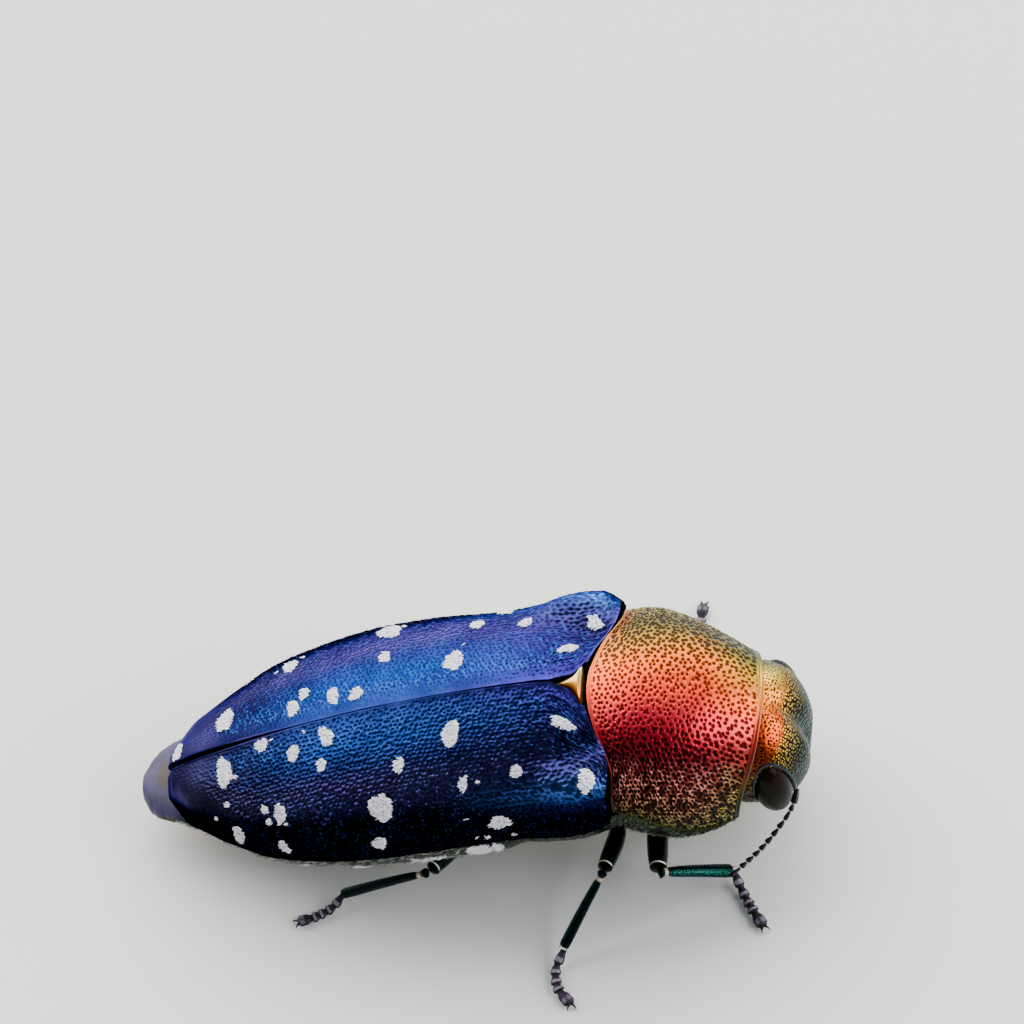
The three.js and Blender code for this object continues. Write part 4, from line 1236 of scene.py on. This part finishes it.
def belly_plate(node, front, rear, rows):
    """Between two cross seams: at each station half ovals below the edge level, whose drop is
    cos(a)^(2/n), bowed forward at the shoulders as the wing cases are, and drawn in below them
    in front. The front edge dips under the plate before it."""
    limits = {"hind_coxa_left": (0.02, 0.5), "hind_coxa_right": (-0.5, -0.02)}.get(node, (-0.5, 0.5))
    columns = 120 if "coxa" in node else 290
    a = np.linspace(*limits, columns)[None, :] * math.pi
    v = np.linspace(0, 1, rows)[:, None]
    drop = np.cos(a) ** (2 / BELLY_SQUARENESS)
    reach = power(np.sin(a), 2 / BELLY_SQUARENESS)
    typical = half_width((front(1.0) + rear(1.0)) / 2) * np.abs(reach)
    start, end = front(typical) + PLATE_LAP * (node != "metaventrite"), rear(typical)
    x = start + (end - start) * v
    w = half_width(x) - EDGE_OVERHANG - 0.16 * smoothstep(x, -2.5, -1.9)
    y = w * reach
    top = edge_height(x) - 0.03
    z = top - belly_depth(x) * drop
    bow = BASE_BOW * smoothstep(x, -BASE_BOW_FADE, 0) * (1 - drop)
    patch = np.stack([x + bow, y, z], -1)
    across = across_lengths(patch)
    middle = across - (across[:, -1:] / 2 if limits[0] < 0 < limits[1] else 0)
    length = np.abs(end - start)
    from_front, from_rear = v * length, (1 - v) * length
    side = np.abs(a / (math.pi / 2)) * np.ones_like(x)
    flank = smoothstep(side, 0.4, 0.65)
    gap, _, fate = nearest_pit(x * np.ones_like(side), middle, BELLY_PIT_PITCH, 27, 0.32)
    pit = dimple(gap, 0.03 + 0.012 * fate + 0.01 * flank, 0.6)
    clear = smoothstep(from_front, 0.06, 0.12) * smoothstep(from_rear, 0.03, 0.08)
    gap, _, luck = nearest_pit(x * np.ones_like(side), middle, BELLY_GRAIN_PITCH, 28, 0.34)
    grain = dimple(gap, 0.045, 0.7) * smoothstep(luck, 0.4, 0.9) * flank
    from_tip = (x - TAIL_TIP) * np.ones_like(side)
    if node == "ventrite_5":
        clear = clear * smoothstep(from_tip, 0.3, 0.6)
    pit, grain = pit * clear, grain * clear
    seam = bump(from_front, 0, 0.05)
    height = 0.012 * grain - 0.014 * pit - 0.05 * seam + 0.012 * undulation(x, middle, 0.5, 29)
    if node == "metaventrite":
        cross_seam = -1.78 + 0.25 * np.abs(y) ** 0.7
        cross_line = bump(x, cross_seam, 0.025) * (1 - smoothstep(np.abs(y), 0.9, 1.2))
        height = height - 0.03 * bump(y, 0, 0.025) - 0.03 * cross_line
        seam = np.clip(bump(y, 0, 0.03) + cross_line, 0, 1)
    if node == "ventrite_1_2":
        height = height - 0.015 * bump(x, curved_seam(-4.65, -4.5)(np.abs(y)), 0.035)
    if node == "ventrite_5":
        height = height - 0.02 * bump(from_tip, 0.28, 0.05)
    gold = (1 - smoothstep(np.abs(y), 0.55, 1.0)) * np.ones_like(side)
    pit = np.maximum(pit, 0.6 * smoothstep(seam * np.ones_like(side), 0.3, 0.9))
    values = {"pit": pit, "grain": grain, "gold": gold * 0.85, "pale": 0 * side, "share": side}
    return raised(patch, height), values


belly_patches = {}
for node, (front, rear, rows) in BELLY_PLATES.items():
    outer, values = belly_plate(node, front, rear, rows)
    belly_patches[node] = outer
    if node == "ventrite_5":
        dome = TAIL_DOME * smoothstep(-outer[:, -1, 0], 10.2, 10.7)
        rings, values = closed(outer, values, 36, dome)
        on_top = np.arange(rings.shape[1])[None, :] >= outer.shape[1]
        tip = smoothstep(-rings[..., 0], 11.1, 11.35)
        values["tail"] = np.maximum(tip * 0.9, smoothstep(-rings[..., 0], 10.3, 10.5) * on_top)
        from_end = np.hypot(rings[..., 0] + 10.85, (rings[..., 1] - 0.05) * 0.8)
        values["rust"] = on_top * (1 - smoothstep(from_end, 0.2, 0.42))
    else:
        rings, values = closed(outer, values)
        values["tail"] = values["rust"] = 0 * values["pit"]
    plate = joined_rings(f"{node}_plate", [(rings, values)])
    dress(plate, gold_green, "underside_gold_green", node)


# ------------------------------------------------------------------ pale hairs of the underside
# Flat white scale-hairs in patches on each side of the breast plate, the hip plates and every
# belly plate, and loose grey hairs along the belly plates' side edges and on the chest's sides.

BELLY_HAIR_LENGTH = 0.13
BELLY_HAIR_BREADTH = 0.04
BELLY_HAIR_PITCH = 0.04
# Patches as (share of the plate from front to rear, share of the way round to the edge, length
# along the body, breadth), the last two in mm; each is on both sides.
BELLY_SPOTS = {
    "metaventrite": [(0.96, 0.9, 0.3, 0.5)],
    "hind_coxa_left": [(0.5, 0.87, 0.6, 0.9)],
    "hind_coxa_right": [(0.5, 0.87, 0.6, 0.9)],
    "ventrite_1_2": [(0.3, 0.85, 0.9, 0.36), (0.8, 0.74, 0.5, 0.7)],
    "ventrite_3": [(0.55, 0.72, 0.5, 0.62)],
    "ventrite_4": [(0.55, 0.7, 0.42, 0.5)],
    "ventrite_5": [(0.3, 0.68, 0.3, 0.4)],
}


def patch_roots(patch, spots, seed):
    """Rows and columns of the hair roots of a plate's patches; its columns run from edge to edge
    or from the middle line to one edge."""
    rng = np.random.default_rng(seed)
    rows, columns = patch.shape[0] - 1, patch.shape[1] - 1
    whole = patch[0, 0, 1] * patch[0, -1, 1] < -0.5
    roots = []
    for share_back, share_out, length, breadth in spots:
        if whole:
            shares = 0.5 - share_out / 2, 0.5 + share_out / 2
        else:
            shares = (share_out if abs(patch[0, -1, 1]) > 1 else 1 - share_out,)
        for share in shares:
            waves = (3, 0.1), (5, 0.08)
            place = patch, share_back * rows, share * columns, (length, breadth), 0
            roots.append(ellipse_roots(*place, waves, 0, (0.8, 1.08), BELLY_HAIR_PITCH, rng))
    return inside_grid(patch, roots)


for node, patch in belly_patches.items():
    roots = patch_roots(patch, BELLY_SPOTS[node], 51)
    hair_piece = coat(f"hairs_{node}", patch, roots, 1, BELLY_HAIR_LENGTH, BELLY_HAIR_BREADTH, 0.7, 53)
    dress(hair_piece, hair_white, "setae_white")


def fringe_roots(patch, first, last, near, far, count, seed):
    """Random roots along both side edges of a grid, between two shares of its rows, and between
    two distances from the edges, given as shares of the columns."""
    rng = np.random.default_rng(seed)
    rows, columns = patch.shape[0] - 1, patch.shape[1] - 1
    row = rng.uniform(first, last, count) * rows
    inset = near + (far - near) * rng.uniform(0, 1, count) ** 1.5
    column = np.where(rng.uniform(0, 1, count) < 0.5, inset, 1 - inset) * columns
    return np.stack([row, np.clip(column, 1, columns - 1)], 1)


def fringe_finish():
    """Grey-white hairs, thin and dull."""
    finish = Finish("fringe_hair_grey", 0.6, 0.0)
    return finish.paint(finish.ramp(finish.value("shade"), (0.0, "4c5048"), (0.6, "888c84"), (1.0, "b8bab4")))


hair_grey = fringe_finish()
# Each plate's fringe as (first and last share of its rows, number of hairs).
FRINGES = {
    "ventrite_1_2": (0.0, 1.0, 600), "ventrite_3": (0.0, 1.0, 300), "ventrite_4": (0.0, 1.0, 220),
    "ventrite_5": (0.0, 0.5, 100),
}
for node, (first, last, count) in FRINGES.items():
    roots = fringe_roots(belly_patches[node], first, last, 0.004, 0.12, count, 61)
    fringe = coat(f"fringe_{node}", belly_patches[node], roots, 1, 0.17, 0.022, 0.5, 63)
    dress(fringe, hair_grey, "setae_white")
roots = fringe_roots(chest_patch, 0.1, 0.99, 0.14, 0.3, 1100, 65)
fringe = coat("fringe_chest", chest_patch, roots, -1, 0.15, 0.02, 0.8, 67)
dress(fringe, hair_grey, "setae_white")


# ------------------------------------------------------------------ legs
# Six legs: a round hip, a club-shaped thigh with a pale crescent round its end, a slender grained shin that
# starts with a knob in the thigh's fork, painted black as painted shade, and ends in two spurs, and a foot of
# five joints, each pale on top of its wider end, with pads below and two hooked claws.

FOOT_ENDS = [0, 0.24, 0.43, 0.58, 0.71, 1.0]
HIP_RADIUS = 0.38
SHIN_HALF_THICKNESS = 0.115
SPUR_HALF = 0.022
CLAW_HALF = 0.034
# Thigh's half thickness and shin's half breadth of each pair.
LEG_SIZES = {"fore": (0.25, 0.165), "mid": (0.215, 0.125), "hind": (0.21, 0.125)}
# Hip, knee, ankle and toe of each leg, then how far the foot bows sideways.
LEGS = {
    "fore_right": ((1.0, -0.95, 0.9), (1.17, -3.3, 1.47), (2.78, -2.84, 0.42), (3.47, -4.2, 0), 0.03),
    "mid_right": ((0.02, -1.22, 0.88), (-0.06, -3.36, 1.82), (-1.26, -4.62, 0.42), (-1.09, -5.95, 0), 0.26),
    "hind_right": ((-2.95, -0.95, 0.62), (-4.28, -3.1, 1.75), (-6.7, -2.88, 0.42), (-7.8, -3.4, 0), -0.08),
    "fore_left": ((1.0, 0.95, 0.9), (0.6, 3.2, 1.6), (1.6, 3.25, 0.42), (1.87, 4.55, 0), 0.03),
    "mid_left": ((0.02, 1.22, 0.88), (-0.5, 3.4, 1.65), (-1.5, 3.2, 0.42), (-1.55, 4.4, 0), -0.1),
    "hind_left": ((-2.95, 0.95, 0.62), (-4.5, 2.95, 1.5), (-6.55, 2.7, 0.42), (-7.5, 3.2, 0), 0.08),
}


def between(a, b, share):
    """The point at a share of the way from a to b."""
    return np.array(a) + (np.array(b) - np.array(a)) * share


def grains(rings, pitch, depth, seed):
    """A limb's rings sunk by small pits on the unrolled surface, and the pits' values."""
    rows, sides = rings.shape[:2]
    step = np.linalg.norm(rings[1:] - rings[:-1], axis=2).mean(1)
    along = np.concatenate([[0], np.cumsum(step)])[:, None] * np.ones(sides)
    girth = np.linalg.norm(np.roll(rings, -1, 1) - rings, axis=2).mean() * np.arange(sides)
    gap, _, _ = nearest_pit(along, girth * np.ones((rows, 1)), pitch, seed)
    pit = dimple(gap, 0.45 * pitch, 0.8)
    centre = rings.mean(1, keepdims=True)
    return rings - unit(rings - centre) * (depth * pit)[..., None], pit


def leg_values(shape, **given):
    """The leg finish's attributes on a grid of points, 0 where nothing is given."""
    names = ("pit", "crescent", "cream", "up", "outer")
    return {name: np.broadcast_to(given.get(name, 0.0), shape) for name in names}


def thigh(hip, knee, thick, forward):
    """A club from a narrow root, thickest past the middle, with a raised lip round its end, and
    bowed forward by a given amount."""
    t = np.linspace(0, 1, 120)
    middle = between(hip, knee, 0.45) + (forward, 0, 0.05)
    path = path_through([between(hip, knee, 0.1), middle, between(hip, knee, 0.97)], 120)
    half = thick * profile((0, 0.6), (0.12, 0.8), (0.5, 1.0), (0.8, 0.96), (0.93, 0.84), (1, 0.74))(t)
    lip = bump(t, 0.955, 0.011)
    end = np.sqrt(np.clip((1 - t) / 0.03, 0.05, 1))
    rings = tube(path, (half + 0.012 * lip) * end, (half * 1.05 + 0.015 * lip) * end, 48)
    angle = np.linspace(0, 2 * math.pi, 48, endpoint=False)
    rings, pit = grains(rings, 0.08, 0.008, 33)
    upper = np.clip(np.sin(angle) + 0.45, 0, 1)
    outer = np.clip(0.5 + 0.5 * np.cos(angle), 0, 1)
    # The thigh's end round the shin's root is painted black with the pits: painted shade.
    knob = (t > 0.97)[:, None]
    return rings, leg_values(
        rings.shape[:2], pit=np.maximum(pit * (1 - lip[:, None]), knob), crescent=lip[:, None] * upper,
        up=0.35 * upper, outer=outer * 0.6,
    )


def shin(knee, ankle, breadth):
    """A slender rod that starts with a knob and a cream neck, widens a little and is square-cut
    at the end; it is flattened a little from above."""
    t = np.linspace(0, 1, 160)
    middle = between(knee, ankle, 0.5) + (0, 0, 0.03)
    path = path_through([between(knee, ankle, 0.0), middle, between(knee, ankle, 0.985)], 160)
    broad = breadth * profile(
        (0, 0.9), (0.03, 1.0), (0.07, 0.7), (0.11, 0.58), (0.18, 0.8), (0.6, 1), (0.95, 1.08), (1, 0.9),
    )(t)
    tall = SHIN_HALF_THICKNESS * profile(
        (0, 1.0), (0.03, 1.1), (0.07, 0.8), (0.11, 0.62), (0.18, 0.85), (0.6, 1), (1, 1),
    )(t)
    end = np.sqrt(np.clip((1 - t) / 0.015, 0.05, 1)) * np.sqrt(np.clip(t / 0.03, 0.05, 1))
    rings = tube(path, broad * end, tall * end, 44)
    angle = np.linspace(0, 2 * math.pi, 44, endpoint=False)
    rings, pit = grains(rings, 0.07, 0.010, 35)
    cream = bump(t, 0.1, 0.028)[:, None] * np.ones(44)
    # The shin's root in the thigh's fork is painted black with the pits: painted shade.
    knob = (1 - smoothstep(t, 0.04, 0.07))[:, None]
    upper = np.clip(np.sin(angle) + 0.5, 0, 1)
    outer = np.clip(0.5 + 0.6 * np.cos(angle), 0, 1)
    return rings, leg_values(
        rings.shape[:2], pit=np.maximum(pit * (1 - cream), knob), cream=cream, up=upper, outer=outer
    )


def spine(root, tip, half, bend=(0, 0, 0)):
    """A curved thorn, round and pointed."""
    route = [root, between(root, tip, 0.55) + np.array(bend), tip]
    t = np.linspace(0, 1, 18)
    size = half * np.clip(1 - t, 0.04, 1) ** 0.7
    return tube(path_through(route, 18), size, size, 10)


def leg_finish():
    """Black chitin, blue-black above and metallic teal along its outer edge, with pits painted dark as
    painted shade in them, the knobs in the thigh's fork painted black as painted shade, a pale crescent at
    the knee and a cream neck below it."""
    finish = Finish("leg_metallic_green", 0.3, 1.0)
    outer = finish.ramp(
        finish.value("outer"), (0.0, "0a191c"), (0.4, "0b2222"), (0.6, "0d3531"), (0.85, "154641"),
    )
    body = finish.mix(finish.map(finish.value("up"), 0, 1, 0.4, 1), "0a1014", outer)
    body = finish.mix(finish.map(finish.noise(2.2), 0.4, 0.7, 0, 0.4), body, "041b17")
    # Pits and knobs painted near black: painted shade.
    body = finish.cover(body, "pit", 0.1, 0.8, 0.85, "010202")
    body = finish.cover(body, "crescent", 0.3, 0.8, 1, "c7cfb6")
    body = finish.cover(body, "cream", 0.3, 0.8, 1, "c0a88f")
    pale = finish.cover("000000", "crescent", 0.3, 0.8, 1, "ffffff")
    pale = finish.cover(pale, "cream", 0.3, 0.8, 1, "ffffff")
    finish.paint(finish.map(pale, 0, 1, 1, 0), "Metallic")
    finish.relief(finish.noise(24), 0.004, 0.6)
    return finish.paint(body)


def foot(ankle, toe, bow):
    """Five joints on a path that comes down from the shin's end and lies along the floor, bowed
    to one side. Each of the first four widens to a rounded end over its pad; the last is broad."""
    count = 260
    direction = unit(np.array(toe) - np.array(ankle))
    sideways = unit(np.cross(direction, (0, 0, 1)))
    start = np.array(ankle) - (0, 0, 0.1)
    second = between(start, toe, 0.3) * (1, 1, 0) + (0, 0, 0.15) + sideways * bow
    third = between(start, toe, 0.65) * (1, 1, 0) + (0, 0, 0.125) + sideways * bow
    route = [start, second, third, np.array(toe) + (0, 0, 0.12)]
    t = np.linspace(0, 1, count)
    joint, inside = joints_along(t, FOOT_ENDS)
    widening = 0.66 + 0.34 * smoothstep(inside, 0.05, 0.65) - 0.3 * smoothstep(inside, 0.85, 1.0)
    broad = 0.6 + 0.4 * smoothstep(inside, 0.05, 0.45) - 0.35 * smoothstep(inside, 0.8, 1.0)
    last = joint == len(FOOT_ENDS) - 2
    half = (0.115 + 0.035 * t) * np.where(last, broad, widening)
    tall = 0.088 * np.where(last, broad * 0.95, 0.3 + 0.7 * widening)
    pad_drop = 0.03 * (1 - last) * bump(inside, 0.7, 0.22)
    rings = tube(path_through(route, count), half, tall, 32, lower_half=tall + pad_drop)
    rings[..., 2] = np.maximum(rings[..., 2], 0.0)
    angle = np.linspace(0, 2 * math.pi, 32, endpoint=False)
    upper, under = np.clip(np.sin(angle), 0, 1), np.clip(-np.sin(angle), 0, 1)
    pad = smoothstep(inside, 0.4, 0.7)[:, None] * (1 - last)[:, None] * smoothstep(under, 0.05, 0.5)
    cap = smoothstep(inside, 0.4, 0.6) * (1 - smoothstep(inside, 0.76, 0.88)) * (1 - 0.4 * last)
    split = 1 - 0.7 * last[:, None] * bump(np.cos(angle), 0, 0.2)
    cap = cap[:, None] * smoothstep(upper, 0.25, 0.7) * split
    seam = (bump(inside, 0.0, 0.2) + bump(inside, 1.0, 0.08))[:, None] * np.ones(32)
    return rings, {"pad": pad, "cap": cap, "seam": np.clip(seam, 0, 1)}


def claw(toe, direction, side):
    """One hook at the end of the foot, bent down to the floor."""
    toe = np.array(toe, float)
    sideways = np.cross(direction, (0, 0, 1))
    root = toe + (0, 0, 0.1) - direction * 0.05
    tip = toe + direction * 0.13 + sideways * side * 0.1 + (0, 0, 0.012)
    bend = direction * 0.02 + np.array([0, 0, 0.05]) + sideways * side * 0.03
    return spine(root, tip, CLAW_HALF, bend)


def foot_finish():
    """Dull purple-black joints, lilac-white on top of their ends, with pale grey-pink pads."""
    finish = Finish("foot_purple_grey", 0.5, 0.2, 0.3)
    body = finish.ramp(finish.noise(6), (0.3, "120d16"), (0.6, "2e2434"), (0.8, "453a4c"))
    body = finish.cover(body, "cap", 0.2, 0.9, 0.75, "9888a0")
    body = finish.cover(body, "seam", 0.2, 0.9, 0.9, "070509")
    body = finish.cover(body, "pad", 0.2, 0.8, 0.9, "a8989c")
    finish.relief(finish.noise(22), 0.006, 0.6)
    return finish.paint(body)


leg_green = leg_finish()
tarsus_purple = foot_finish()
for name, (hip, knee, ankle, toe, bow) in LEGS.items():
    thick, breadth = LEG_SIZES[name.split("_")[0]]
    if not name.startswith("hind"):
        ball = lump(np.array(hip) + (0, 0, 0.05), HIP_RADIUS, rows=60, around=70)
        ball, pit = grains(ball, 0.1, 0.012, 37)
        coxa = joined_rings(f"hip_{name}", [(ball, leg_values(pit.shape, pit=pit, up=0.6, outer=0.55))])
        dress(coxa, leg_green, "leg_green", f"coxa_{name}")
    femur = joined_rings(f"thigh_{name}", [thigh(hip, knee, thick, 0.16 if name == "mid_right" else 0.0)])
    dress(femur, leg_green, "leg_green", f"femur_{name}")
    direction = unit((np.array(toe) - np.array(ankle)) * (1, 1, 0))
    down_shin = unit(np.array(ankle) - np.array(knee))
    across_shin = unit(np.cross(down_shin, (0, 0, 1)))
    shin_end = between(knee, ankle, 0.94)
    groups = [shin(knee, ankle, breadth)]
    for s in (-1, 1):
        spur_tip = shin_end + across_shin * s * 0.12 + down_shin * 0.22
        spur = spine(shin_end + across_shin * s * 0.07, spur_tip, SPUR_HALF)
        groups.append((spur, leg_values(spur.shape[:2], up=0.2)))
    tibia = joined_rings(f"shin_{name}", groups)
    dress(tibia, leg_green, "leg_green", f"tibia_{name}")
    tarsus = joined_rings(f"foot_{name}", [foot(ankle, toe, bow)])
    dress(tarsus, tarsus_purple, "tarsus_purple", f"tarsus_{name}")
    hooks = []
    for s in (-1, 1):
        hook = claw(toe, direction, s)
        dark = np.ones(hook.shape[:2])
        hooks.append((hook, {"pad": 0 * dark, "cap": 0 * dark, "seam": dark}))
    claws = joined_rings(f"claws_{name}", hooks)
    dress(claws, tarsus_purple, "tarsus_purple")


# ------------------------------------------------------------------ floor, light and camera
# A plain pale floor at the feet's level, seen only from above; a broad soft lamp over the beetle's
# left and rear, a smaller one ahead of its head, and faintly bluish surroundings. The camera looks
# down from the beetle's right, rolled a little.

floor_mesh = bpy.data.meshes.new("floor")
FLOOR_REACH = 0.6
floor_corners = [(FLOOR_REACH * i, FLOOR_REACH * j, 0) for i, j in ((-1, -1), (1, -1), (1, 1), (-1, 1))]
floor_mesh.from_pydata(floor_corners, [], [(0, 1, 2, 3)])
floor = bpy.data.objects.new("floor", floor_mesh)
bpy.context.scene.collection.objects.link(floor)
floor_finish = Finish("floor_pale", 0.85, 0.0)
floor_finish.shader.inputs["Base Color"].default_value = colour("f8f8f4")
seen_from_below = floor_finish.nodes.new("ShaderNodeNewGeometry").outputs["Backfacing"]
clear = floor_finish.nodes.new("ShaderNodeBsdfTransparent").outputs["BSDF"]
one_sided = floor_finish.nodes.new("ShaderNodeMixShader")
floor_finish.links.new(seen_from_below, one_sided.inputs["Fac"])
floor_finish.links.new(floor_finish.shader.outputs["BSDF"], one_sided.inputs[1])
floor_finish.links.new(clear, one_sided.inputs[2])
floor_finish.links.new(one_sided.outputs["Shader"], floor_finish.nodes["Material Output"].inputs["Surface"])
floor_mesh.materials.append(floor_finish.material)

world = bpy.data.worlds.new("studio")
world.use_nodes = True
world.node_tree.nodes["Background"].inputs["Color"].default_value = (0.62, 0.7, 0.8, 1)
world.node_tree.nodes["Background"].inputs["Strength"].default_value = 0.28
bpy.context.scene.world = world

MIDDLE = Vector((0.0, 0.0, 0.003))


def lamp(name, place, width, height, watts):
    """A soft oblong lamp at a place in metres, aimed at the beetle."""
    data = bpy.data.lights.new(name, "AREA")
    data.shape = "RECTANGLE"
    data.size = width
    data.size_y = height
    data.energy = watts
    obj = bpy.data.objects.new(name, data)
    bpy.context.scene.collection.objects.link(obj)
    turn = (MIDDLE - Vector(place)).to_track_quat("-Z", "Y").to_matrix().to_4x4()
    obj.matrix_world = Matrix.Translation(place) @ turn


lamp("key", (-0.12, 0.38, 0.28), 1.2, 0.5, 11.5)
lamp("front", (0.4, 0.0, 0.22), 0.42, 0.36, 2.8)

VIEW_AZIMUTH = math.radians(20.5)
VIEW_ELEVATION = math.radians(60)
VIEW_ROLL = math.radians(21.5)
VIEW_DISTANCE = 150.0
VIEW_WIDTH = 23.87
AIM = (-1.748, 4.033)
ANCHOR = Vector((0.0, 0.0, 4.8)) - Vector(BOX_MIDDLE)

toward = Vector((
    math.cos(VIEW_ELEVATION) * math.sin(VIEW_AZIMUTH),
    -math.cos(VIEW_ELEVATION) * math.cos(VIEW_AZIMUTH),
    math.sin(VIEW_ELEVATION),
))
level = Vector((math.cos(VIEW_AZIMUTH), math.sin(VIEW_AZIMUTH), 0))
upright = toward.cross(level)
right = level * math.cos(VIEW_ROLL) - upright * math.sin(VIEW_ROLL)
up = level * math.sin(VIEW_ROLL) + upright * math.cos(VIEW_ROLL)
target = ANCHOR + right * AIM[0] + up * AIM[1]
eye_point = ANCHOR + toward * VIEW_DISTANCE
back = (eye_point - target).normalized()
right = up.cross(back).normalized()
up = back.cross(right)
camera_data = bpy.data.cameras.new("camera")
camera_data.lens = camera_data.sensor_width * VIEW_DISTANCE / VIEW_WIDTH
camera_data.clip_start = 0.01
camera_data.clip_end = 5
camera = bpy.data.objects.new("camera", camera_data)
bpy.context.scene.collection.objects.link(camera)
camera.matrix_world = Matrix.Translation(eye_point * MM) @ Matrix((right, up, back)).transposed().to_4x4()
bpy.context.scene.camera = camera
